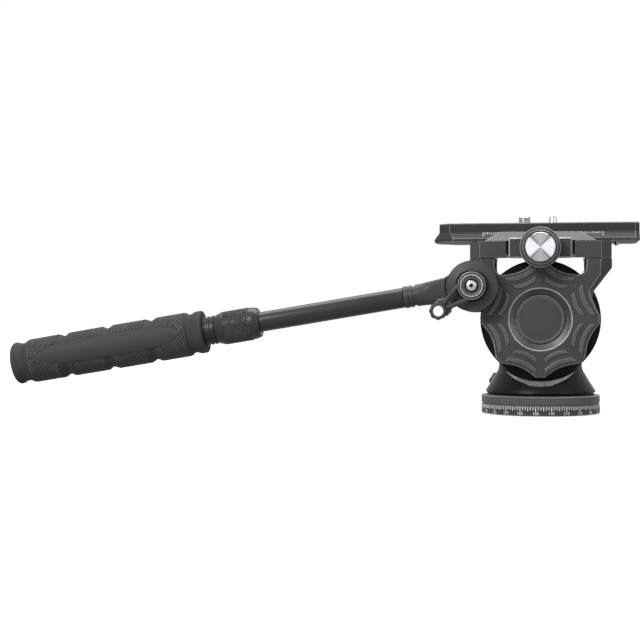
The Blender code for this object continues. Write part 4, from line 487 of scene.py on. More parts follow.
looks = {
    "satinBlack": {"tooth": 5200.0, "cloud": 45.0, "dark": 0.04, "light": 0.056, "smooth": 0.38,
                   "rough": 0.5, "bump": 0.35, "depth": 0.03, "shine": 0.18},
    "castBlack": {"tooth": 4600.0, "cloud": 40.0, "dark": 0.006, "light": 0.011, "smooth": 0.28,
                  "rough": 0.4, "bump": 0.3, "depth": 0.03, "shine": 0.08},
    "slabBlack": {"tooth": 5200.0, "cloud": 50.0, "dark": 0.022, "light": 0.032, "smooth": 0.34,
                  "rough": 0.45, "bump": 0.3, "depth": 0.03, "shine": 0.2},
    # paler than the satin black: a painted sheen for the pan ring, the web bars and a lever band
    "paintedSheenBlack": {"tooth": 4600.0, "cloud": 35.0, "dark": 0.07, "light": 0.095, "smooth": 0.32,
                  "rough": 0.44, "bump": 0.25, "depth": 0.03, "shine": 0.2},
    "clampBlack": {"tooth": 5200.0, "cloud": 50.0, "dark": 0.044, "light": 0.058, "smooth": 0.34,
                   "rough": 0.45, "bump": 0.3, "depth": 0.03, "shine": 0.2},
    "tubeBlack": {"tooth": 3200.0, "cloud": 30.0, "dark": 0.022, "light": 0.031, "smooth": 0.28,
                  "rough": 0.36, "bump": 0.2, "depth": 0.02, "shine": 0.25},
    "hubBlack": {"tooth": 4200.0, "cloud": 35.0, "dark": 0.048, "light": 0.062, "smooth": 0.42,
                 "rough": 0.52, "bump": 0.3, "depth": 0.03, "shine": 0.15},
    "gripRubber": {"tooth": 2600.0, "cloud": 90.0, "dark": 0.03, "light": 0.044, "smooth": 0.62,
                   "rough": 0.8, "bump": 0.45, "depth": 0.06, "shine": 0.15},
    # paler rubber for the diamond tips and panel edges: wear with a painted highlight
    "wearAndHighlightRubber": {"tooth": 2600.0, "cloud": 160.0, "dark": 0.06, "light": 0.1, "smooth": 0.5,
                     "rough": 0.65, "bump": 0.3, "depth": 0.05, "shine": 0.3},
    "panelRubber": {"tooth": 3200.0, "cloud": 70.0, "dark": 0.026, "light": 0.037, "smooth": 0.55,
                    "rough": 0.7, "bump": 0.35, "depth": 0.05, "shine": 0.2},
    # darker rubber for the valleys: painted shade
    "paintedShadeRubber": {"tooth": 2600.0, "cloud": 160.0, "dark": 0.014, "light": 0.024, "smooth": 0.65,
                  "rough": 0.8, "bump": 0.3, "depth": 0.05, "shine": 0.1},
    "nylonWhite": {"tooth": 2000.0, "cloud": 80.0, "dark": 0.3, "light": 0.4, "smooth": 0.5, "rough": 0.6,
                   "bump": 0.2, "depth": 0.03},
    "scalePrint": {"tooth": 5000.0, "cloud": 400.0, "dark": 0.6, "light": 0.82, "smooth": 0.5,
                   "rough": 0.65, "bump": 0.1, "depth": 0.01},
    "castBronze": {"tooth": 3500.0, "cloud": 120.0, "dark": (0.28, 0.16, 0.06, 1),
                   "light": (0.45, 0.28, 0.12, 1), "smooth": 0.28, "rough": 0.42, "bump": 0.2,
                   "depth": 0.02, "metal": 1.0},
    "screwSteel": {"tooth": 3500.0, "cloud": 150.0, "dark": 0.42, "light": 0.62, "smooth": 0.22,
                   "rough": 0.36, "bump": 0.15, "depth": 0.02, "metal": 1.0},
}
(satinBlack, castBlack, slabBlack, paintedSheenBlack, clampBlack, tubeBlack, hubBlack, gripRubber, wearAndHighlightRubber,
 panelRubber, paintedShadeRubber, nylonWhite, scalePrint, castBronze, screwSteel) = [
    grainFinish(name, look) for name, look in looks.items()]
# pale edge tones: painted highlights on the edges, with wear
wearAndHighlightEdge = edgeFinish("wearAndHighlightEdge", size=350.0, base=0.12, worn=0.24)
wearAndBrightHighlightEdge = edgeFinish("wearAndBrightHighlightEdge", size=250.0, base=0.26, worn=0.42)
dishGrey = turnedFinish("dishGrey", {"pitch": 16000.0, "dark": 0.07, "light": 0.105, "smooth": 0.42,
                                     "rough": 0.5, "bump": 0.15}, nearTilt)
# painted sheen: tint stops for the spun disc's two shining sectors
paintedSheenStops = [(0.0, 0.52), (0.36, 0.4), (0.47, 0.16), (0.56, 0.6), (0.72, 0.96)]
spunDiscPaintedSheen = turnedFinish("spunDiscPaintedSheen", {"pitch": 14000.0, "dark": 0.9, "light": 1.0, "smooth": 0.18,
                                     "rough": 0.3, "bump": 0.3, "drawn": 0.8, "streak": 0.1,
                                     "paintedFan": paintedSheenStops}, knobAxis)
turnedCap = turnedFinish("turnedCap", {"pitch": 18000.0, "dark": 0.5, "light": 0.7, "smooth": 0.16,
                                       "rough": 0.26, "bump": 0.2}, leverAxis)
print("finishes mixed")

# Base with its degree ring
base = {"steps": 144, "radius": 30.0, "chamfer": 0.4,
        "foot": [(27.0, 0), (27.5, 0.5), (27.5, 1.3), (26.0, 1.3), (26.0, 4.6), (8.0, 4.6), (8.0, 20.0),
                 (5.0, 20.0), (5.0, 26.2)],
        "socket": [(6.5, -1), (6.5, 13.3), (4.1, 13.3), (4.1, 16.5)],
        "reliefs": [(24.2, 22.6), (10.4, 9.4)], "reliefDepth": 0.25,
        "ringInner": 26.3, "ringStep": 27.8, "ringLow": 0.4, "ringFoot": 1.6, "ringTop": 5.1}
foot = turnPiece("footPlate", base["foot"], base["steps"])
drill(foot, base["socket"], 64)
for outer, inner in base["reliefs"]:
    top = base["reliefDepth"]
    drill(foot, [(outer, -1), (outer, top), (inner, top), (inner, -1)], 96, hollow=True)
finishPiece(foot, [satinBlack, wearAndHighlightEdge], "base", ["base_plate"], 0.12)

r, c, low, top = base["radius"], base["chamfer"], base["ringLow"], base["ringTop"]
ring = turnPiece("degreeRing", [
    (base["ringInner"], top), (base["ringInner"], base["ringFoot"]), (base["ringStep"], base["ringFoot"]),
    (base["ringStep"], low), (r - c, low), (r, low + c), (r, top - c), (r - c, top)],
    base["steps"], hollow=True)
finishPiece(ring, [clampBlack, wearAndHighlightEdge], "base", ["base_ring"])
# painted highlight on the ring's chamfers
paintBevels(ring)

scale = {"ticks": 144, "pitch": 2.5, "width": 0.42, "proud": 0.03, "sunk": 0.1, "short": 1.5, "half": 1.95,
         "long": 2.35, "top": 4.75, "zeroTurn": -4.4, "numberStep": 15, "numberSize": 2.1,
         "numberLow": 0.78, "numberProud": 0.02, "numberThick": 0.01}


def scaleTurn(degree):
    return Matrix.Rotation(math.radians(scale["zeroTurn"] + degree), 4, "Z")


def scaleTick(length):
    return blockOf("tick", (-scale["width"] / 2, -r - scale["proud"], scale["top"] - length),
                   (scale["width"] / 2, -r + scale["sunk"], scale["top"]))


models = {length: scaleTick(length) for length in (scale["short"], scale["half"], scale["long"])}
ticks = []
for i in range(scale["ticks"]):
    length = scale["long"] if i % 6 == 0 else scale["half"] if i % 3 == 0 else scale["short"]
    ticks.append(copyOf(models[length], "tick", scaleTurn(i * scale["pitch"])))
for model in models.values():
    bpy.data.objects.remove(model)
finishPiece(joinPieces(ticks, "degreeTicks"), [scalePrint], "base", [])


def numberOn(text, size, place):
    clearSelection()
    bpy.ops.object.text_add()
    words = bpy.context.object
    words.name = "number"
    words.data.body = text
    words.data.align_x = "CENTER"
    words.data.size = size * mm
    words.data.extrude = scale["numberThick"] * mm
    words.data.resolution_u = 3
    bpy.ops.object.convert(target="MESH")
    bpy.ops.object.mode_set(mode="EDIT")
    bpy.ops.mesh.select_all(action="SELECT")
    bpy.ops.mesh.remove_doubles(threshold=1e-6)
    return closeUp(bpy.context.object, place)


numberSpot = axisAt(0, -r - scale["numberProud"], scale["numberLow"], toNear)
numbers = [numberOn(str(degree), scale["numberSize"], scaleTurn(degree - 180) @ numberSpot)
           for degree in range(0, 360, scale["numberStep"])]
finishPiece(joinPieces(numbers, "degreeNumbers"), [scalePrint], "base", [])

bush = {"pitch": 1.1, "root": 4.65, "crest": 4.1, "outer": 6.2, "low": 0.3, "high": 13.0}
threads = [(bush["outer"], bush["high"]), (bush["outer"], bush["low"]), (bush["root"], bush["low"])]
level = bush["low"]
while level + bush["pitch"] < bush["high"]:
    threads += [(bush["crest"], level + bush["pitch"] / 2), (bush["root"], level + bush["pitch"])]
    level += bush["pitch"]
threads.append((bush["crest"], bush["high"]))
thread = turnPiece("tripodThread", threads, 64, hollow=True)
finishPiece(thread, [screwSteel], "base", ["thread_bush"], smooth=20)
print("base done")

# Pan ring and housing
panSleeve = {"inner": 24.3, "low": 5.4, "high": 9.7}
inner, low, top = panSleeve["inner"], panSleeve["low"], panSleeve["high"]
panRing = turnPiece("panRing", [
    (inner, top), (inner, low), (r - c, low), (r, low + c), (r, top - c), (r - c, top)],
    base["steps"], hollow=True)
# the pan ring's paler tone is a painted sheen, and its chamfers get a painted highlight
finishPiece(panRing, [paintedSheenBlack, wearAndHighlightEdge], "pan_body", ["pan_ring"])
paintBevels(panRing)

casting = {"steps": 144, "drum": 30.0, "half": 16.0, "chamfer": 0.8, "edge": 0.22,
           "drumBore": (21.0, -18, 18), "lockHole": (2.3, 10, 32),
           "flange": [(24.0, 5.4), (24.0, 10.0), (27.0, 10.0), (27.0, 10.7)],
           "side": [(27.9, 11.2), (27.6, 12.2), (26.5, 13.9), (24.5, 17.0), (22.6, 20.2), (21.7, 21.8),
                    (21.3, 22.9), (20.9, 25.5), (20.8, 30.0)],
           "panBore": [(19.8, 3.4), (19.8, 6.4), (8.3, 6.4), (8.3, 20.3), (12.5, 20.3), (12.5, 30.0)],
           "pocket": [(31.0, 16.1), (31.0, 21.8), (33.3, 25.0), (33.3, 46.0)]}
saddle = {"inner": 31.0, "bottom": 33.2, "reach": math.radians(36), "root": 29.0, "back": 8.0,
          "front": 26.0, "steps": 40, "proud": 1.8, "faceFrom": 13, "faceOuter": 33.4, "faceBand": 0.3}
cone = turnPiece("housingCasting", casting["flange"] + casting["side"], casting["steps"])
wide, half, bevel = casting["drum"], casting["half"], casting["chamfer"]
drum = turnPiece("drum", [
    (wide - bevel, -half), (wide, bevel - half), (wide, half - bevel), (wide - bevel, half)],
    casting["steps"], nearTilt)


def saddleLip(side):
    # the cone's lip follows the drum round: the space between two circles, drawn out to a point at each end
    inner, bottom, reach, root = saddle["inner"], saddle["bottom"], saddle["reach"], saddle["root"]
    drop = (bottom ** 2 - inner ** 2) / (2 * (bottom - inner * math.cos(reach)))
    swing = math.atan2(inner * math.sin(reach), inner * math.cos(reach) - drop)
    turns = [2 * i / saddle["steps"] - 1 for i in range(saddle["steps"] + 1)]
    low = bottom - drop
    outline = [(low * math.sin(swing * t), -drop - low * math.cos(swing * t)) for t in turns]
    outline += [(root * math.sin(reach * t), -root * math.cos(reach * t)) for t in reversed(turns)]
    lip = plateOf("saddleLip", [(x, side * y) for x, y in outline], saddle["back"], saddle["front"],
                  nearTilt if side > 0 else farTilt)
    limit = [(radius + saddle["proud"], height) for radius, height in casting["side"]]
    return bringIn(lip, "INTERSECT", [turnPiece("lipLimit", limit, casting["steps"])])


weld(cone, drum, saddleLip(1), saddleLip(-1))
drillHole(cone, casting["drumBore"], 72, nearTilt)
drill(cone, casting["panBore"], 72)
for place in (nearTilt, farTilt):
    drill(cone, casting["pocket"], casting["steps"], place)
drillHole(cone, casting["lockHole"], 24, panLockAxis)
giveFinishes(cone, castBlack, wearAndHighlightEdge)
softEdges(cone, casting["edge"], 28)


def onPocketRim(at, normal):
    # the flared rim that the pocket leaves on the cone
    (inner, low), (outer, high) = casting["pocket"][1:3]
    inwards = -(at.x * normal.x + (at.z - axes["tilt"]) * normal.z) / fromTilt(at)
    return (low < abs(at.y) < high + 0.1 and inner < fromTilt(at) < outer + 0.1 and inwards > 0.7
            and 0.3 < abs(normal.y) < 0.9)


def onLipFace(at, normal):
    # the lip's own face, which stands a little off the cone and follows it
    if abs(at.y) < saddle["faceFrom"] or not saddle["inner"] < fromTilt(at) < saddle["faceOuter"]:
        return False
    for (r0, z0), (r1, z1) in zip(casting["side"], casting["side"][1:]):
        if z0 <= at.z < z1:
            here = r0 + (r1 - r0) * (at.z - z0) / (z1 - z0)
            return abs(reachOf(at) - here - saddle["proud"]) < saddle["faceBand"]
    return False


# the pocket rim and the lip face take the pale edge finish: a painted highlight
paintFaces(cone, 1, onPocketRim)
paintFaces(cone, 1, onLipFace)
finishPiece(cone, [], "pan_body", ["housing"], smooth=20)
print("housing done")

# The two web-shaped cheeks
web = {"sectors": 8, "radius": 29.0, "waist": 25.9, "flat": math.radians(4.5), "steps": 10, "inner": 16.4,
       "step": 19.2, "face": 24.2, "edge": 0.5, "armTop": 30.3}
arms = {"back": [(35.2, 30.3), (35.2, 25.7), (26.2, 13.9), (25.6, 10.6)],
        "front": [(29.9, 30.3), (29.6, 22.5), (24.1, 14.3), (24.6, 10.6)]}
window = {"half": 22.7, "corner": 4.3, "height": 26.5, "steps": 8}
bars = {"rows": [(24.4, 21.9), (19.8, 17.5)], "height": 0.8, "slope": 0.4, "spoke": 1.9, "steps": 12,
        "sink": 1.0, "edge": 0.12}
dish = {"radius": 15.3, "lip": 15.85, "floorRadius": 12.6, "floor": 22.2, "well": 19.0, "rim": 0.35,
        "outside": 27.0, "stubHole": (3.3, 10, 26)}
sector = 2 * math.pi / web["sectors"]


def webRadius(turn, waist):
    # sags between the blunt points of the web
    swing = sector / 2 - web["flat"]
    share = min(abs((turn % sector) - sector / 2) / swing, 1)
    return waist * (1 + (web["radius"] / web["waist"] - 1) * share ** 2)


def webEdge(start, end):
    way = 1 if end > start else -1
    first, last = start + way * web["flat"], end - way * web["flat"]
    turns = [first + (last - first) * i / web["steps"] for i in range(web["steps"] + 1)]
    return [polar(webRadius(turn, web["waist"]), turn) for turn in turns]


def windowCorner(side):
    arc = [polar(window["corner"], -math.pi / 2 * i / window["steps"]) for i in range(window["steps"])]
    return [(side * (window["half"] - window["corner"] + x), window["height"] + z) for x, z in arc]


def cheekOutline(arm):
    points = arm + [polar(web["radius"], web["flat"])]
    outline = list(points)
    for i in range(web["sectors"] // 2):
        outline += webEdge(-i * sector, -(i + 1) * sector)
    outline += [(-x, z) for x, z in reversed(points)]
    outline += [(-window["half"], web["armTop"])] + windowCorner(-1)
    outline += webEdge(3 * sector, 2 * sector) + webEdge(2 * sector, sector)
    return outline + list(reversed(windowCorner(1))) + [(window["half"], web["armTop"])]


def webBar(waist, inside):
    def arc(radius, trim):
        reach = sector / 2 - math.asin((bars["spoke"] + trim) / radius)
        turns = [sector / 2 + reach * (2 * i / bars["steps"] - 1) for i in range(bars["steps"] + 1)]
        return [(webRadius(turn, radius), turn) for turn in turns]

    def outline(trim):
        outer = [polar(radius - trim, turn) for radius, turn in arc(waist, trim)]
        inner = [polar(radius + trim, turn) for radius, turn in arc(inside, trim)]
        return outer + inner[::-1]

    piece = traceOutline("bar", outline(0), web["face"] - bars["sink"])
    raiseFace(bars["sink"])
    raiseFace(bars["height"])
    fitOutline(piece, outline(0), outline(bars["slope"]))
    return closeUp(piece)


def cheekBlank():
    back, front = cheekOutline(arms["back"]), cheekOutline(arms["front"])
    piece = traceOutline("nearCheek", back, web["inner"])
    raiseFace(web["step"] - web["inner"])
    raiseFace(web["face"] - web["edge"] - web["step"])
    fitOutline(piece, back, front)
    bpy.ops.mesh.inset(thickness=web["edge"] * mm, depth=web["edge"] * mm)
    return closeUp(piece)


blank = cheekBlank()
rowPieces = []
for waist, inside in bars["rows"]:
    first = webBar(waist, inside)
    rowPieces.append(first)
    for i in range(1, web["sectors"]):
        rowPieces.append(copyOf(first, "bar", Matrix.Rotation(i * sector, 4, "Z")))
allBars = joinPieces(rowPieces)
drill(blank, [(dish["floorRadius"], dish["well"]), (dish["floorRadius"], dish["floor"]),
              (dish["radius"], web["face"] - dish["rim"]), (dish["lip"], web["face"]),
              (dish["lip"], dish["outside"])], 96)
drillHole(blank, dish["stubHole"], 32)
giveFinishes(blank, satinBlack, wearAndHighlightEdge, dishGrey, wearAndBrightHighlightEdge)
# the bars take the paler black as a painted sheen, and their bevels a painted highlight
giveFinishes(allBars, paintedSheenBlack, wearAndHighlightEdge, dishGrey, wearAndBrightHighlightEdge)
softEdges(allBars, bars["edge"], 30)


def onEdgeBevel(at, normal):
    return web["face"] - web["edge"] < at.z < web["face"] and 0.3 < normal.z < 0.95 and reachOf(at) > 16.2


def onDish(low, high):
    return lambda at, normal: (dish["floor"] < at.z < web["face"] and low < reachOf(at) < high
                               and 0.2 < normal.z < 0.98)


# the web's edge bevel and the dish lip get painted highlights; the dish itself is turned grey metal
paintFaces(blank, 1, onEdgeBevel)
paintFaces(blank, 2, onDish(dish["floorRadius"] - 0.1, dish["radius"]))
paintFaces(blank, 3, onDish(dish["radius"], dish["lip"]))
mirrored = Matrix.Scale(-1, 4, (0, 1, 0)) @ nearTilt
farCheek, farBars = copyOf(blank, "farCheek", mirrored), copyOf(allBars, "farBars", mirrored)
for piece in (farCheek, farBars):
    pickUp(piece)
    bpy.ops.object.mode_set(mode="EDIT")
    closeUp(piece)
settle(blank, nearTilt)
settle(allBars, nearTilt)

boss = {"rootRadius": 12.9, "shift": (0.9, -0.1), "waistRadius": 12.6, "root": 22.6, "sweep": 24.5,
        "face": 26.9, "edge": 0.4, "steps": 6, "studHole": (3.3, 18.2, 38)}


def handleBoss():
    # sweeps from a wide root that sits off the axis to a round face on it
    shiftX, shiftY = boss["shift"]
    growth = boss["waistRadius"] - boss["rootRadius"]
    piece = ringStart("handleBoss", boss["rootRadius"], web["inner"], 96, True)
    bpy.ops.transform.translate(value=(shiftX * mm, shiftY * mm, 0))
    raiseFace(boss["root"] - web["inner"])
    for i in range(boss["steps"]):
        before, ease = easeOf(i / boss["steps"]), easeOf((i + 1) / boss["steps"])
        raiseFace((boss["sweep"] - boss["root"]) / boss["steps"])
        bpy.ops.transform.translate(value=(shiftX * (before - ease) * mm, shiftY * (before - ease) * mm, 0))
        old, new = boss["rootRadius"] + growth * before, boss["rootRadius"] + growth * ease
        bpy.ops.transform.resize(value=(new / old, new / old, 1),
                                 center_override=(shiftX * (1 - ease) * mm, shiftY * (1 - ease) * mm, 0))
    raiseFace(boss["face"] - boss["sweep"] - boss["edge"])
    bpy.ops.mesh.inset(thickness=boss["edge"] * mm, depth=boss["edge"] * mm)
    return closeUp(piece, leverAxis)


weld(blank, handleBoss())
drillHole(blank, boss["studHole"], 32, leverAxis)
boltPlaces = [(-30.8, -18.6), (-30.8, 18.6), (30.8, -18.6), (30.8, 18.6)]
bolt = {"head": 2.6, "chamfer": 0.3, "top": 86.4, "tall": 2.6, "shank": 1.5, "long": 12.0, "socket": 1.4,
        "deep": 1.5, "hole": (1.8, 70, 80),
        "well": [(1.8, 74), (1.8, 83.5), (2.9, 83.5), (2.9, 88.4)]}
for x, y in boltPlaces:
    drillHole(blank if y < 0 else farCheek, bolt["hole"], 24, axisAt(x, y, 0))
joinPieces([blank, allBars])
joinPieces([farCheek, farBars])
finishPiece(blank, [], "yoke", ["near_cheek"], smooth=24)
finishPiece(farCheek, [], "yoke", ["far_cheek"], smooth=24)

hub = {"radius": 12.3, "top": 21.9, "thick": 1.4, "chamfer": 0.45, "groove": 11.2, "faceRadius": 11.0,
       "faceMiddle": 10.4, "sunk": 0.08}
top, face = hub["top"], hub["top"] - hub["sunk"]
hubCover = turnPiece("hubCover", [
    (hub["radius"], top - hub["thick"]), (hub["radius"], top - hub["chamfer"]),
    (hub["radius"] - hub["chamfer"], top), (hub["groove"], top), (hub["faceRadius"], face),
    (hub["faceMiddle"], face)], 96, nearTilt)
finishPiece(hubCover, [hubBlack, wearAndHighlightEdge], "yoke", ["near_hub_cover"])
# painted highlight on the cover's chamfers
paintFaces(hubCover, 1, lambda at, normal: 0.3 < -normal.y < 0.95)
print("cheeks done")

# Clamp and its jaw
clamp = {"low": 78.6, "top": 86.9, "half": 35.0, "width": 25.0, "corner": 5.1, "edge": 0.38,
         "screwHole": (3.3, 5, 25),
         "recess": ((-17.1, -27, 76.6), (17.1, -19.3, 88.9)),
         "rearHollow": ((-22.4, -23.9, 77.0), (-5.0, 27.0, 80.7)),
         "frontHollow": ((5.0, -23.9, 77.0), (22.4, 27.0, 80.7))}
lips = {"foot": 27.8, "crestHalf": 20.0, "crest": 92.0, "inner": 19.3, "innerHigh": 89.0,
        "innerCrest": 16.5, "outerCrest": 18.0, "outer": 24.9, "shoulder": 87.2, "farFoot": 84.9}
jawSizes = {"block": ((-15.6, -25, 78.6), (15.6, -19.6, 88.7)), "lipEdge": 0.28, "blockEdge": 0.6,
            "screwHole": (3.3, 0, 27)}


def cornerCut(left, right, half, leftCut, rightCut):
    return [(left, leftCut - half), (left + leftCut, -half), (right - rightCut, -half),
            (right, rightCut - half), (right, half - rightCut), (right - rightCut, half),
            (left + leftCut, half), (left, half - leftCut)]


def lipOf(name, side, footHeight):
    # drawn as the section across the clamp, then run along it and leant in at both ends
    section = [(lips["outer"], lips["shoulder"]), (lips["outerCrest"], lips["crest"]),
               (lips["innerCrest"], lips["crest"]), (lips["inner"], lips["innerHigh"]),
               (lips["inner"], footHeight)]
    if footHeight < lips["shoulder"]:
        section.append((lips["outer"], footHeight))
    piece = traceOutline(name, section, -lips["foot"])
    raiseFace(2 * lips["foot"])
    piece = closeUp(piece, Matrix(((0, 0, 1, 0), (side, 0, 0, 0), (0, 1, 0, 0), (0, 0, 0, 1))))
    for v in piece.data.vertices:
        share = max((v.co.z / mm - clamp["top"]) / (lips["crest"] - clamp["top"]), 0)
        v.co.x *= 1 - share * (1 - lips["crestHalf"] / lips["foot"])
    bpy.ops.object.mode_set(mode="EDIT")
    return closeUp(piece)


bodyOutline = cornerCut(-clamp["half"], clamp["half"], clamp["width"], clamp["corner"], clamp["corner"])
bodyBlock = plateOf("clampBody", bodyOutline, clamp["low"], clamp["top"])
weld(bodyBlock, lipOf("farLip", 1, lips["farFoot"]))
cutAway(bodyBlock, blockOf("recess", *clamp["recess"]))
drillHole(bodyBlock, clamp["screwHole"], 32, knobAxis)
for hollow in ("rearHollow", "frontHollow"):
    cutAway(bodyBlock, blockOf(hollow, *clamp[hollow]))
for x, y in boltPlaces:
    drill(bodyBlock, bolt["well"], 40, axisAt(x, y, 0))
# the clamp's bevels take a painted highlight
finishPiece(bodyBlock, [clampBlack, wearAndBrightHighlightEdge], "yoke", ["clamp_body"],
            clamp["edge"], 30, 16)

jaw, jawBlock = lipOf("clampJaw", -1, lips["shoulder"]), blockOf("jawBlock", *jawSizes["block"])
# the jaw's bevels take a painted highlight
for piece, edge in ((jaw, jawSizes["lipEdge"]), (jawBlock, jawSizes["blockEdge"])):
    giveFinishes(piece, clampBlack, wearAndBrightHighlightEdge)
    softEdges(piece, edge, 30)
weld(jaw, jawBlock)
drillHole(jaw, jawSizes["screwHole"], 32, knobAxis)
finishPiece(jaw, [], "jaw", ["clamp_jaw"], smooth=16)

boltModel = turnPiece("boltModel", [
    (bolt["shank"], bolt["top"] - bolt["long"]), (bolt["shank"], bolt["top"] - bolt["tall"]),
    (bolt["head"], bolt["top"] - bolt["tall"]), (bolt["head"], bolt["top"] - bolt["chamfer"]),
    (bolt["head"] - bolt["chamfer"], bolt["top"])], 40)
drillHole(boltModel, (bolt["socket"], bolt["top"] - bolt["deep"], bolt["top"] + 1), 6)
for i, (x, y) in enumerate(boltPlaces):
    twin = copyOf(boltModel, f"clampBolt{i + 1}", axisAt(x, y, 0))
    finishPiece(twin, [screwSteel], "yoke", [f"clamp_bolt_{i + 1}"])
bpy.data.objects.remove(boltModel)


def steelPiece(name, profile, steps, place, body, node):
    return finishPiece(turnPiece(name, profile, steps, place), [screwSteel], body, [node])


guide = {"reach": 11, "height": 82.75, "pin": [(1.4, 11), (1.4, 24.5), (1.2, 24.7)]}
for name, x in (("rear", -guide["reach"]), ("front", guide["reach"])):
    place = axisAt(x, 0, guide["height"], toNear)
    steelPiece(name + "GuidePin", guide["pin"], 32, place, "yoke", name + "_guide_pin")

knob = {"low": 27.1, "high": 36.8, "rows": 8, "around": 60, "radius": 9.75, "inner": 9.4,
        "inset": 0.3, "rise": 0.22, "bore": (3.3, 20, 27.5), "rimAt": -37.1,
        "back": [(6.5, 25.5), (6.5, 26.2), (8.9, 26.2)],
        "nose": [(10.0, 36.8), (10.0, 37.2), (9.65, 37.55), (8.5, 38.0), (8.2, 38.3), (7.65, 38.3),
                 (7.6, 37.1)],
        "disc": [(7.3, 37.4), (7.3, 38.35), (7.0, 38.7), (0.5, 38.7), (0.3, 38.55)],
        "screw": [(2.8, -8), (3.0, -7.8), (3.0, 27.2)]}


def makeDiamonds(piece, test):
    # the squares become diamonds
    pickFaces(piece, test)
    bpy.ops.mesh.poke()
    bpy.ops.mesh.tris_convert_to_quads(face_threshold=math.radians(60), shape_threshold=math.radians(60))
    toObject()


def raiseDiamonds(piece, test, inset, rise):
    # each diamond gets its own raised point: the tip is pale with wear and a painted highlight, the valley
    # dark with painted shade
    pickFaces(piece, test)
    bpy.ops.mesh.inset(thickness=inset * mm, depth=rise * mm, use_individual=True)
    toObject()
    tips = [face.index for face in piece.data.polygons if face.select]
    paintFaces(piece, 2, lambda at, normal: test(at, None))
    for index in tips:
        piece.data.polygons[index].material_index = 1


def knurledPiece(name, sizes, skin, place, hollow=False):
    # a turned piece with a band of diamonds between its back and its nose
    rows, low, high = sizes["rows"], sizes["low"], sizes["high"]
    band = [(sizes["radius"], low + (high - low) * i / rows) for i in range(rows + 1)]

    def inBand(at, face):
        inside = low < at.z < high and reachOf(at) > sizes["inner"]
        return inside and (face is None or abs(face.normal.z) < 0.3 and len(face.vertices) == 4)

    piece = turnPiece(name, sizes["back"] + band + sizes["nose"], sizes["around"], hollow=hollow)
    giveFinishes(piece, skin, wearAndHighlightEdge, slabBlack)
    makeDiamonds(piece, inBand)
    raiseDiamonds(piece, inBand, sizes["inset"], sizes["rise"])
    return settle(piece, place)


# the knob's knurl: painted highlight with wear on the tips, painted shade in the valleys
knobPiece = knurledPiece("clampKnob", knob, satinBlack, knobAxis)
drillHole(knobPiece, knob["bore"], 32, knobAxis)
finishPiece(knobPiece, [], "knob", ["clamp_knob"])
# painted highlight on the knob's nose chamfer
paintFaces(knobPiece, 1, lambda at, normal: at.y < knob["rimAt"] and 0.3 < -normal.y < 0.85)
# the spun disc's bright sectors are a painted sheen
disc = turnPiece("knobDisc", knob["disc"], 96, knobAxis)
finishPiece(disc, [spunDiscPaintedSheen], "knob", ["knob_disc"])
steelPiece("clampScrew", knob["screw"], 48, knobAxis, "knob", "clamp_screw")
print("clamp done")

# Plate with its screw and pins
plate = {"rear": -51.0, "front": 49.0, "flangeRear": -53.6, "flangeHalf": 19.0, "slabHalf": 15.8,
         "flangeCuts": (10.0, 2.2), "slabCuts": (5.6, 2.2), "chamfer": 0.4,
         "levels": (87.4, 88.7, 92.1, 96.7), "slotReach": 0.6, "slotRadius": 3.4, "slotLow": 85,
         "slotTop": 99, "well": (7.1, 85, 90.1), "pinHole": (2.7, 85, 99), "stopHole": (1.45, 85, 93.3),
         "edge": 0.2, "padRecess": ((-35.3, -13.1, 96.0), (35.3, 13.1, 99))}
screwAt, pinAt, stopAt = axisAt(-8.0, 0, 0), axisAt(6.4, 0, 0), axisAt(38.4, 0, 0)


def releasePlate():
    flange = cornerCut(plate["flangeRear"], plate["front"], plate["flangeHalf"], *plate["flangeCuts"])
    slab = cornerCut(plate["rear"], plate["front"], plate["slabHalf"], *plate["slabCuts"])
    foot, edge, waist, top = plate["levels"]
    piece = traceOutline("releasePlate", flange, foot)
    raiseFace(edge - foot)
    raiseFace(waist - edge)
    fitOutline(piece, flange, slab)
    raiseFace(top - waist - plate["chamfer"])
    bpy.ops.mesh.inset(thickness=plate["chamfer"] * mm, depth=plate["chamfer"] * mm)
    return closeUp(piece)


def slotOutline(reach, radius, steps=20):
    turns = [math.pi * i / steps - math.pi / 2 for i in range(steps + 1)]
    front = [(reach + radius * math.cos(t), radius * math.sin(t)) for t in turns]
    return front + [(-x, -y) for x, y in front]


topPlate = releasePlate()
slot = slotOutline(plate["slotReach"], plate["slotRadius"])
cutAway(topPlate, plateOf("screwSlot", slot, plate["slotLow"], plate["slotTop"], screwAt))
drillHole(topPlate, plate["well"], 64, screwAt)
drillHole(topPlate, plate["pinHole"], 40, pinAt)
drillHole(topPlate, plate["stopHole"], 32, stopAt)
cutAway(topPlate, blockOf("padRecess", *plate["padRecess"]))
finishPiece(topPlate, [slabBlack, wearAndHighlightEdge], "plate", ["release_plate"],
            plate["edge"], 25, 16)
paintFaces(topPlate, 0, lambda at, normal: abs(at.z - plate["levels"][2]) < 0.3)

pad = {"half": 35.0, "width": 12.8, "corner": 2.0, "low": 96.3, "high": 96.9, "chamfer": 0.15, "ribs": 46,
       "groove": 0.3, "grooveDepth": 0.2, "grooveEnd": 1.2, "grooveTop": 98,
       "hole": (4.3, 95, 99), "pinHole": (3.0, 95, 99)}
padOutline = cornerCut(-pad["half"], pad["half"], pad["width"], pad["corner"], pad["corner"])
padPiece = plateOf("platePad", padOutline, pad["low"], pad["high"], chamfer=pad["chamfer"])
grooves = []
for i in range(pad["ribs"]):
    x = -pad["half"] + (i + 0.5) * 2 * pad["half"] / pad["ribs"]
    end = pad["width"] - pad["grooveEnd"]
    grooves.append(blockOf("groove", (x - pad["groove"], -end, pad["high"] - pad["grooveDepth"]),
                           (x + pad["groove"], end, pad["grooveTop"])))
cutAway(padPiece, joinPieces(grooves))
drillHole(padPiece, pad["hole"], 48, screwAt)
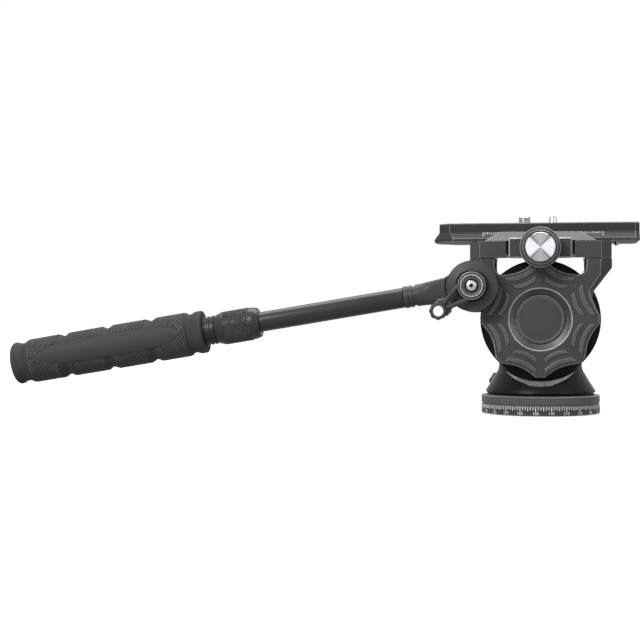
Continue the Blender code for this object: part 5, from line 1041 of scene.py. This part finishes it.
drillHole(padPiece, pad["pinHole"], 40, pinAt)
finishPiece(padPiece, [gripRubber], "plate", ["plate_pad"])

plateScale = {"start": -28.5, "end": 31.0, "count": 60, "width": 0.27, "short": 1.3, "fifth": 1.75,
              "long": 2.9, "top": 91.95, "sunk": 0.03, "proud": 0.02}
bevelSlope = math.atan2(plate["flangeHalf"] - plate["slabHalf"], plate["levels"][2] - plate["levels"][1])
scaleLevel = -plate["slabHalf"] - (plate["levels"][2] - plateScale["top"]) * math.tan(bevelSlope)
plateTicks = []
for i in range(plateScale["count"]):
    share = i / (plateScale["count"] - 1)
    x = plateScale["start"] + (plateScale["end"] - plateScale["start"]) * share
    size = "long" if share in (0, 1) else "fifth" if i % 5 == 0 else "short"
    tick = blockOf("plateTick", (-plateScale["width"] / 2, -plateScale["sunk"], -plateScale[size]),
                   (plateScale["width"] / 2, plateScale["proud"], 0))
    settle(tick, axisAt(x, scaleLevel, plateScale["top"], Matrix.Rotation(-bevelSlope, 4, "X")))
    plateTicks.append(tick)
finishPiece(joinPieces(plateTicks, "plateScale"), [scalePrint], "plate", [])

cameraScrew = {"root": 2.65, "crest": 3.1, "top": 100.9, "pitch": 1.0, "threaded": 4.2, "head": 6.8,
               "low": 87.7, "headTall": 2.1, "chamfer": 0.3,
               "coinSlot": ((-14.0, -0.7, 85), (-2.0, 0.7, 88.7))}
root, crest, pitch = cameraScrew["root"], cameraScrew["crest"], cameraScrew["pitch"]
head, low, bevel = cameraScrew["head"], cameraScrew["low"], cameraScrew["chamfer"]
headTop = low + cameraScrew["headTall"]
profile = [(head - bevel, low), (head, low + bevel), (head, headTop), (root, headTop)]
level = cameraScrew["top"] - cameraScrew["threaded"]
while level + pitch < cameraScrew["top"]:
    profile += [(root, level), (crest, level + 0.4 * pitch), (crest, level + 0.6 * pitch)]
    level += pitch
profile += [(root, level), (root - bevel, cameraScrew["top"])]
quarterScrew = turnPiece("cameraScrew", profile, 64, screwAt)
cutAway(quarterScrew, blockOf("coinSlot", *cameraScrew["coinSlot"]))
finishPiece(quarterScrew, [screwSteel], "camera_screw", ["camera_screw"], smooth=25)
pins = {"video": [(2.4, 92.2), (2.4, 97.0), (1.95, 100.0), (1.6, 100.6), (1.2, 100.7)],
        "stop": [(0.85, 85.7), (1.15, 86.0), (1.15, 91.5)]}
steelPiece("videoPin", pins["video"], 48, pinAt, "video_pin", "video_pin")
steelPiece("stopPin", pins["stop"], 32, stopAt, "stop_pin", "stop_pin")
print("plate done")

# Pan handle
eye = {"radius": 12.6, "half": 4.1, "edge": 0.9, "arm": 6.2, "fillet": 6.0, "filletSteps": 10,
       "rimSteps": 60, "end": 15.6, "bore": (3.3, 20, 42),
       "seat": [(8.4, 35.3), (13.0, 34.1), (13.6, 34.4), (13.6, 37.0), (8.4, 37.0)]}
neckLoft = {"start": 14.6, "end": 27.6, "steps": 10, "around": 72, "wide": 6.15, "deep": 4.05,
            "ferrule": 5.45, "square": 6.0, "roundSoon": 1.4}
ferrule = [(3.8, 24.0), (5.1, 26.8), (5.42, 27.3), (5.42, 28.1), (4.8, 28.3), (4.8, 29.5), (5.45, 29.8),
           (5.45, 31.2), (5.0, 31.3), (5.0, 31.8), (5.45, 31.9), (5.45, 34.0), (5.25, 34.3), (3.8, 34.3),
           (3.8, 46.0)]
tubeProfile = [(4.1, 155.0), (4.1, 34.6), (4.85, 34.6), (5.0, 34.9), (5.0, 154.8), (4.8, 155.0)]


def armOutline():
    # the eye's circle runs through two fillets into the straight arm
    shoulder, steps = eye["arm"] + eye["fillet"], eye["filletSteps"]
    along = math.sqrt((eye["radius"] + eye["fillet"]) ** 2 - shoulder ** 2)
    contact = math.atan2(shoulder, along)
    upper = [(eye["arm"], eye["end"])]
    for i in range(steps + 1):
        y, x = polar(eye["fillet"], -math.pi / 2 - (math.pi / 2 - contact) * i / steps)
        upper.append((shoulder + x, along + y))
    sweep = 2 * (math.pi - contact)
    rim = [polar(eye["radius"], math.pi / 2 - contact - sweep * i / eye["rimSteps"])
           for i in range(1, eye["rimSteps"])]
    return upper + rim + [(-x, y) for x, y in reversed(upper)]


def neckOutline(share):
    # from the arm's rounded oblong to the ferrule's circle
    ease = easeOf(share)
    power = 2 / (neckLoft["square"] + (2 - neckLoft["square"]) * min(neckLoft["roundSoon"] * ease, 1))
    a = neckLoft["wide"] + (neckLoft["ferrule"] - neckLoft["wide"]) * ease
    b = neckLoft["deep"] + (neckLoft["ferrule"] - neckLoft["deep"]) * ease
    spots = [polar(1, 2 * math.pi * i / neckLoft["around"]) for i in range(neckLoft["around"])]
    return [(math.copysign(abs(x) ** power, x) * a, math.copysign(abs(y) ** power, y) * b)
            for x, y in spots]


def handleNeck():
    outlines = [neckOutline(i / neckLoft["steps"]) for i in range(neckLoft["steps"] + 1)]
    piece = traceOutline("handleNeck", outlines[0], neckLoft["start"])
    for before, after in zip(outlines, outlines[1:]):
        raiseFace((neckLoft["end"] - neckLoft["start"]) / neckLoft["steps"])
        fitOutline(piece, before, after)
    return closeUp(piece)


def handleArm():
    piece = traceOutline("handleArm", armOutline(), -eye["half"])
    raiseFace(2 * eye["half"])
    closeUp(piece, Matrix(((1, 0, 0, 0), (0, 0, 1, 0), (0, 1, 0, 0), (0, 0, 0, 1))))
    bpy.ops.object.mode_set(mode="EDIT")
    closeUp(piece)
    softEdges(piece, eye["edge"], 40, 4, slot=0)
    weld(piece, handleNeck(), turnPiece("ferrule", ferrule, 72))
    return settle(piece, handleAxis)


arm = handleArm()
drillHole(arm, eye["bore"], 40, leverAxis)
drill(arm, eye["seat"], 96, leverAxis, hollow=True)
finishPiece(arm, [satinBlack, wearAndHighlightEdge], "handle", ["handle_arm"], smooth=30)
tube = turnPiece("handleTube", tubeProfile, 72, handleAxis, hollow=True)
finishPiece(tube, [tubeBlack], "handle", ["handle_tube"])

collar = {"low": 112.9, "high": 126.6, "rows": 13, "around": 50, "radius": 8.15, "inner": 7.8,
          "inset": 0.26, "rise": 0.24,
          "back": [(6.5, 131.0), (6.5, 110.3), (5.3, 110.3), (5.3, 108.3), (7.0, 108.3), (7.4, 108.7),
                   (8.05, 111.0), (8.1, 112.4)],
          "nose": [(8.4, 127.0), (7.9, 128.6), (7.1, 130.6), (6.9, 131.0)]}
# the collar's knurl: painted highlight with wear on the tips, painted shade in the valleys
collarPiece = knurledPiece("extensionCollar", collar, tubeBlack, handleAxis, hollow=True)
finishPiece(collarPiece, [], "collar", ["extension_collar"])

sleeve = {"nose": [(5.3, 233.4), (5.3, 118.5), (6.2, 118.5), (6.2, 131.4)],
          "ringStarts": (131.4, 133.6, 135.8), "ring": [(7.1, 0), (7.3, 0.2), (7.3, 0.9), (7.1, 1.1),
                                                        (6.8, 1.2), (6.8, 2.1)],
          "back": [(7.1, 136.9), (7.6, 136.95), (7.6, 233.4)]}
rings = [(radius, start + step) for start in sleeve["ringStarts"] for radius, step in sleeve["ring"]]
# the last ring meets the back, so the groove after it is left out
sleevePiece = turnPiece("gripSleeve", sleeve["nose"] + rings[:-2] + sleeve["back"], 72, handleAxis,
                        hollow=True)
finishPiece(sleevePiece, [slabBlack, wearAndHighlightEdge], "extension", ["grip_sleeve"])
print("handle done")

# Rubber grip
grip = {"radius": 10.95, "swell": 0.08, "bodyLow": 145.5, "bodyHigh": 230.3, "rows": 50, "around": 42,
        "notches": (164.0, 187.3, 210.6), "notchDepth": 1.25, "notchWidth": 2.7, "notchClear": 3.3,
        "diamondInset": 0.2, "diamondRise": 0.26, "diamondStart": 147.1, "diamondEnd": 228.9,
        "panelLow": 146.6, "panelHigh": 225.4, "panelHalf": 30.0, "panelTaper": 22.0, "panelTurn": 8.0,
        "panelRise": 0.2, "panelWall": 0.6, "panelClear": 4.5, "panelEdge": 0.15,
        "back": [(7.9, 233.7), (7.9, 137.2), (10.3, 137.2), (10.7, 137.5), (10.8, 138.0), (10.8, 140.6),
                 (10.6, 141.2), (9.95, 142.3), (9.9, 144.4), (10.5, 145.2)],
        "end": [(10.4, 230.9), (9.95, 231.8), (9.8, 233.2), (9.95, 234.6), (10.4, 235.7), (10.75, 236.4),
                (10.8, 237.2), (10.65, 238.0), (10.0, 238.6), (8.2, 239.1), (5.4, 239.5), (2.0, 239.7)]}


def panelHalfAngle(along):
    # half width of the bare panel, in degrees: full in the middle and pointed at both ends
    if not grip["panelLow"] < along < grip["panelHigh"]:
        return 0.0
    share = min(along - grip["panelLow"], grip["panelHigh"] - along,
                grip["panelTaper"]) / grip["panelTaper"]
    return grip["panelHalf"] * (1 - (1 - share) ** 2.4)


def aroundNear(x, y):
    # degrees away from the middle of the nearer panel: local -Y faces the near side and local X is up
    turn = math.degrees(math.atan2(x, -y)) - grip["panelTurn"]
    turn = (turn + 180) % 360 - 180
    return min(abs(turn), 180 - abs(turn))


def valleyDepth(along, away):
    # the finger notches are deep and narrow at the top and underneath, and shallow at the sides
    top = min(max((away - 25) / 45, 0), 1)
    depth = 0.0
    for notch in grip["notches"]:
        share = abs(along - notch) / (grip["notchWidth"] * (1.25 - 0.25 * top))
        if share < 1:
            bowl = 0.5 + 0.5 * math.cos(math.pi * share)
            depth = max(depth, grip["notchDepth"] * (0.25 + 0.75 * top) * bowl)
    return depth


def rubberGrip():
    low, high, rows = grip["bodyLow"], grip["bodyHigh"], grip["rows"]
    body = [(grip["radius"] + grip["swell"] * math.sin(math.pi * i / rows), low + (high - low) * i / rows)
            for i in range(rows + 1)]
    return turnPiece("rubberGrip", grip["back"] + body + grip["end"], grip["around"])


def onBody(at, face):
    inside = grip["bodyLow"] < at.z < grip["bodyHigh"] and reachOf(at) > 9.5
    return inside and (face is None or reachOf(at) > 10 and abs(face.normal.z) < 0.4)


def onKnurl(at, face):
    away = aroundNear(at.x, at.y)
    if not onBody(at, face) or face and len(face.vertices) != 4:
        return False
    if min(abs(at.z - notch) for notch in grip["notches"]) < grip["notchClear"] - 0.5 * min(away / 90, 1):
        return False
    if not grip["diamondStart"] < at.z < grip["diamondEnd"]:
        return False
    return away > panelHalfAngle(at.z) + grip["panelClear"]


gripPiece = rubberGrip()
makeDiamonds(gripPiece, onBody)
for v in gripPiece.data.vertices:
    along, reach = v.co.z / mm, reachOf(v.co) / mm
    if grip["bodyLow"] < along < grip["bodyHigh"] and reach > 10:
        surface = reach if reach > grip["radius"] - 0.01 else grip["radius"] + 0.04
        level = surface - valleyDepth(along, aroundNear(v.co.x, v.co.y))
        v.co.x, v.co.y = v.co.x * level / reach, v.co.y * level / reach
# the diamond tips take paler rubber, wear with a painted highlight, and the valleys darker rubber, painted
# shade
giveFinishes(gripPiece, gripRubber, wearAndHighlightRubber, paintedShadeRubber)
raiseDiamonds(gripPiece, onKnurl, grip["diamondInset"], grip["diamondRise"])
settle(gripPiece, handleAxis)


def barePanel(name, side):
    # the smooth panel: a grid wrapped round the grip and drawn in to its pointed outline
    clearSelection()
    bpy.ops.mesh.primitive_grid_add(x_subdivisions=90, y_subdivisions=14, size=2)
    piece = named(name)
    for v in piece.data.vertices:
        share = (v.co.x + 1) / 2
        along = grip["panelLow"] + share * (grip["panelHigh"] - grip["panelLow"])
        turn = math.radians(grip["panelTurn"] + side + v.co.y * max(panelHalfAngle(along), 0.6))
        radius = grip["radius"] + grip["panelRise"] + grip["swell"] * math.sin(math.pi * share)
        v.co = Vector((radius * math.sin(turn) * mm, -radius * math.cos(turn) * mm, along * mm))
    pickUp(piece)
    wall = piece.modifiers.new("wall", "SOLIDIFY")
    wall.thickness, wall.offset = grip["panelWall"] * mm, 1
    bpy.ops.object.modifier_apply(modifier=wall.name)
    bpy.ops.object.mode_set(mode="EDIT")
    return closeUp(piece, handleAxis)


# the panels' bevels take paler rubber: wear with a painted highlight
for name, side in (("nearPanel", 0), ("farPanel", 180)):
    panel = barePanel(name, side)
    finishPiece(panel, [panelRubber, wearAndHighlightRubber], "extension", [], grip["panelEdge"], 40)
finishPiece(gripPiece, [], "extension", ["grip"])
print("grip done")

# Lock lever of the handle
lever = {"dish": 5.2, "ringAt": (-16.4, -12.4), "ringRadius": 4.25, "ringLobe": 0.2, "half": 1.3,
         "depth": 38.75, "chamfer": 0.55, "bar": 1.2, "barStart": 4.2, "barEnd": 1.3,
         "backSet": 2.9, "backRadius": 4.5, "backLobe": 0.2, "backLow": 36.0, "backGap": 0.2,
         "backChamfer": 0.4, "backRim": (-38.6, -38.1, 3.6), "edge": 0.15, "faceAt": -38.3,
         "socket": (3.3, 34, 38.7), "hole": [(2.6, 30), (2.6, 39.4), (3.4, 41)],
         "hub": [(8.0, 35.7), (8.0, 38.5), (7.5, 39.1), (6.9, 39.3), (6.75, 39.9), (6.4, 39.95),
                 (6.25, 39.1), (5.8, 39.1), (5.7, 40.35), (5.55, 40.5), (5.2, 40.5), (5.05, 40.2),
                 (3.4, 39.65), (3.2, 39.2), (2.9, 39.2)],
         "shadeAndHighlightBands": [(2.8, 3.35, 3), (3.35, 5.0, 4), (5.0, 5.75, 2), (5.75, 6.3, 3), (6.3, 6.85, 1),
                   (6.85, 8.05, 3)],
         "cap": [(2.6, 39.7), (2.6, 40.6), (2.45, 40.9), (2.0, 41.12), (1.3, 41.2), (1.1, 41.2)],
         "capHex": (1.05, 40.2, 43), "capShadedFloor": (-41.0, -40.0, 1.1)}


def leverRod(start, end, radius, depth):
    first, last = Vector((start[0], start[1], depth)), Vector((end[0], end[1], depth))
    turn = (last - first).to_track_quat("Z", "Y").to_matrix().to_4x4()
    return turnPiece("bar", [(radius, 0), (radius, (last - first).length)], 24,
                     leverAxis @ Matrix.Translation(first * mm) @ turn)


hubPiece = turnPiece("lockLever", lever["hub"], 96, leverAxis)
drillHole(hubPiece, lever["socket"], 40, leverAxis)
centre = Vector(lever["ringAt"])
way = centre.normalized()
across = Vector((-way.y, way.x))
depth = lever["depth"]
throat = centre - way * lever["ringRadius"]
behind = centre - way * lever["backSet"]
fingerRing = plateOf("fingerRing", lobedOutline(lever["ringRadius"], lever["ringLobe"], 8, 12, *centre),
                     depth - lever["half"], depth + lever["half"], leverAxis, chamfer=lever["chamfer"])
backRing = plateOf("backRing", lobedOutline(lever["backRadius"], lever["backLobe"], 12, 10, *behind),
                   lever["backLow"], depth - lever["backGap"], leverAxis, chamfer=lever["backChamfer"])
for hand in (-1, 1):
    start = way * lever["dish"] + across * hand * lever["barStart"]
    weld(hubPiece, leverRod(start, throat + across * hand * lever["barEnd"], lever["bar"], depth))
weld(hubPiece, backRing, fingerRing)
drill(hubPiece, lever["hole"], 48, leverAxis @ axisAt(*centre, 0))
finishPiece(hubPiece, [satinBlack, wearAndHighlightEdge, wearAndBrightHighlightEdge, castBlack, paintedSheenBlack], "lever", ["lock_lever"],
            lever["edge"], 38)
# rings on the hub face: painted highlight bands and painted shade bands
for inner, outer, slot in lever["shadeAndHighlightBands"]:
    paintFaces(hubPiece, slot, lambda at, normal: at.y < lever["faceAt"] and -normal.y > 0.2
               and inner < fromLever(at) < outer)


def onBackRim(at, normal):
    front, back, inner = lever["backRim"]
    fromBack = math.hypot(at.x - axes["leverX"] - behind.x, at.z - axes["leverZ"] - behind.y)
    return front < at.y < back and 0.3 < -normal.y < 0.9 and fromBack > inner


# painted highlight on the back ring's chamfer
paintFaces(hubPiece, 1, onBackRim)
cap = turnPiece("leverCap", lever["cap"], 64, leverAxis)
drillHole(cap, lever["capHex"], 6, leverAxis)
finishPiece(cap, [turnedCap, castBlack], "lever", ["lever_cap"])
# painted shade on the floor of the cap's hex socket
front, back, outer = lever["capShadedFloor"]
paintFaces(cap, 1, lambda at, normal: front < at.y < back and fromLever(at) < outer)
print("lever done")

# Lock knobs on the far side
tiltKnob = {"radius": 11.5, "lobe": 0.7, "lobes": 8, "back": 26.2, "front": 35.2, "chamfer": 1.0,
            "edge": 0.2, "hub": [(8.5, 20.4), (8.5, 28.2)], "bore": (3.3, 10, 30.3),
            "dimple": [(5.4, 34.0), (6.0, 34.4), (6.0, 37)]}
knobOutline = lobedOutline(tiltKnob["radius"], tiltKnob["lobe"], tiltKnob["lobes"], 14)
tiltPiece = plateOf("tiltLockKnob", knobOutline, tiltKnob["back"], tiltKnob["front"], farTilt,
                    chamfer=tiltKnob["chamfer"])
weld(tiltPiece, turnPiece("tiltHub", tiltKnob["hub"], 72, farTilt))
drillHole(tiltPiece, tiltKnob["bore"], 40, farTilt)
drill(tiltPiece, tiltKnob["dimple"], 72, farTilt)
finishPiece(tiltPiece, [satinBlack, wearAndHighlightEdge], "tilt_lock", ["tilt_lock_knob"],
            tiltKnob["edge"], 40)

panLock = {"radius": 5.2, "lobe": 0.3, "lobes": 7, "back": 31.0, "front": 40.5, "chamfer": 0.6,
           "edge": 0.15, "bore": (2.3, 20, 36.05), "dimple": [(2.6, 40.1), (2.9, 42)],
           "screw": [(1.7, 8.6), (2.0, 8.9), (2.0, 35.75)]}
panKnob = plateOf("panLockKnob", lobedOutline(panLock["radius"], panLock["lobe"], panLock["lobes"], 12),
                  panLock["back"], panLock["front"], panLockAxis, chamfer=panLock["chamfer"])
drillHole(panKnob, panLock["bore"], 32, panLockAxis)
drill(panKnob, panLock["dimple"], 48, panLockAxis)
finishPiece(panKnob, [satinBlack, wearAndHighlightEdge], "pan_lock", ["pan_lock_knob"],
            panLock["edge"], 40)
steelPiece("panLockScrew", panLock["screw"], 40, panLockAxis, "pan_lock", "pan_lock_screw")
print("locks done")

# Inner solids keep their CAD shape and get a finish
innerFinishes = {
    "pan_bearing": castBronze, "pan_washer": screwSteel, "pan_nut": screwSteel,
    "near_drum_cover": satinBlack, "far_drum_cover": satinBlack, "near_tilt_bearing": castBronze,
    "far_tilt_bearing": castBronze, "tilt_axle": screwSteel, "damper_rotor": nylonWhite,
    "axle_nut": screwSteel, "tilt_washer": nylonWhite, "handle_stud": screwSteel, "collet": nylonWhite}
for node, finish in innerFinishes.items():
    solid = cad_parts[node]
    if not solid.material_slots:
        giveFinishes(solid, finish)
    for slot in solid.material_slots:
        slot.material = finish

# Floor, light and camera, in metres and watts
studio = {"floorSize": 8, "floorY": 2.5, "floorDrop": 0.1, "floorColor": (0.4, 0.4, 0.4, 1),
          "worldLight": 0.22, "camera": (0, -0.7525, 0.0477), "cameraTurn": 8.64, "sensor": 36.0,
          "lens": 81.56, "nearest": 0.01}
softBoxes = [
    {"name": "keyBox", "place": (-0.45, -0.75, 0.55), "aim": (-0.05, 0, 0.05), "size": (0.4, 0.4),
     "power": 9.0},
    {"name": "fillBox", "place": (0.8, -0.5, 0.5), "aim": (0, 0, 0.05), "size": (0.5, 0.5), "power": 2.0},
    {"name": "topBox", "place": (0.0, 0.2, 0.9), "aim": (-0.05, 0, 0.05), "size": (0.9, 0.5), "power": 9.0}]
white = (1, 1, 1, 1)
clearSelection()
bpy.ops.mesh.primitive_plane_add(size=studio["floorSize"],
                                 location=(0, studio["floorY"], -studio["floorDrop"] * mm))
floor = settle(named("studioFloor"))
floorFinish, tree, shader, spot = newFinish("floorWhite")
setShader(shader, {"Base Color": studio["floorColor"], "Roughness": 0.9, "Specular IOR Level": 0.0})
path = addNode(tree, "LightPath").outputs
reach = addNode(tree, "VectorMath", {"operation": "LENGTH"}, links={0: spot}).outputs["Value"]
fade = addRange(tree, reach, {"From Min": 0.2, "From Max": 0.7, "To Min": 0.7, "To Max": 1.0})
glow = addNode(tree, "Emission", values={"Color": white}, links={"Strength": fade})
quiet = addNode(tree, "Emission", values={"Color": (0, 0, 0, 1), "Strength": 0.0})
seen = addNode(tree, "MixShader", links={0: path["Is Camera Ray"], 1: quiet.outputs[0], 2: glow.outputs[0]})
total = addNode(tree, "AddShader", links={0: shader.outputs[0], 1: seen.outputs[0]})
# seen from below the floor is clear, because the handle can hang lower than the base
below = addNode(tree, "NewGeometry").outputs["Backfacing"]
clear = addNode(tree, "BsdfTransparent")
either = addNode(tree, "MixShader", links={0: below, 1: total.outputs[0], 2: clear.outputs[0]})
linkUp(tree, tree.nodes["Material Output"], {"Surface": either.outputs[0]})
giveFinishes(floor, floorFinish)

world = bpy.data.worlds.new("studioWorld")
bpy.context.scene.world = world
world.use_nodes = True
tree = world.node_tree
tree.nodes.clear()
# the camera and glossy surfaces see plain white, and everything else a dim one
path = addNode(tree, "LightPath").outputs
dim = addNode(tree, "Background", values={"Color": white, "Strength": studio["worldLight"]})
full = addNode(tree, "Background", values={"Color": white, "Strength": 1.0})
shiny = addMath(tree, "MAXIMUM", {0: path["Is Glossy Ray"], 1: path["Is Transmission Ray"]})
direct = addMath(tree, "MAXIMUM", {0: path["Is Camera Ray"], 1: shiny})
mixed = addNode(tree, "MixShader", links={0: direct, 1: dim.outputs[0], 2: full.outputs[0]})
addNode(tree, "OutputWorld", links={0: mixed.outputs[0]})


def softBox(name, place, aim, size, power):
    clearSelection()
    bpy.ops.object.light_add(type="AREA", location=place)
    lamp = bpy.context.object
    lamp.name = name
    lamp.data.shape = "RECTANGLE"
    lamp.data.size, lamp.data.size_y = size
    lamp.data.energy = power
    lamp.rotation_euler = (Vector(aim) - Vector(place)).to_track_quat("-Z", "Y").to_euler()


for box in softBoxes:
    softBox(**box)

clearSelection()
bpy.ops.object.camera_add(location=studio["camera"],
                          rotation=(math.pi / 2, 0, math.radians(studio["cameraTurn"])))
camera = bpy.context.object
camera.name = "photoCamera"
camera.data.sensor_width = studio["sensor"]
camera.data.lens = studio["lens"]
camera.data.clip_start = studio["nearest"]
bpy.context.scene.camera = camera
bpy.context.scene.view_settings.view_transform = "Standard"
print("studio lit")
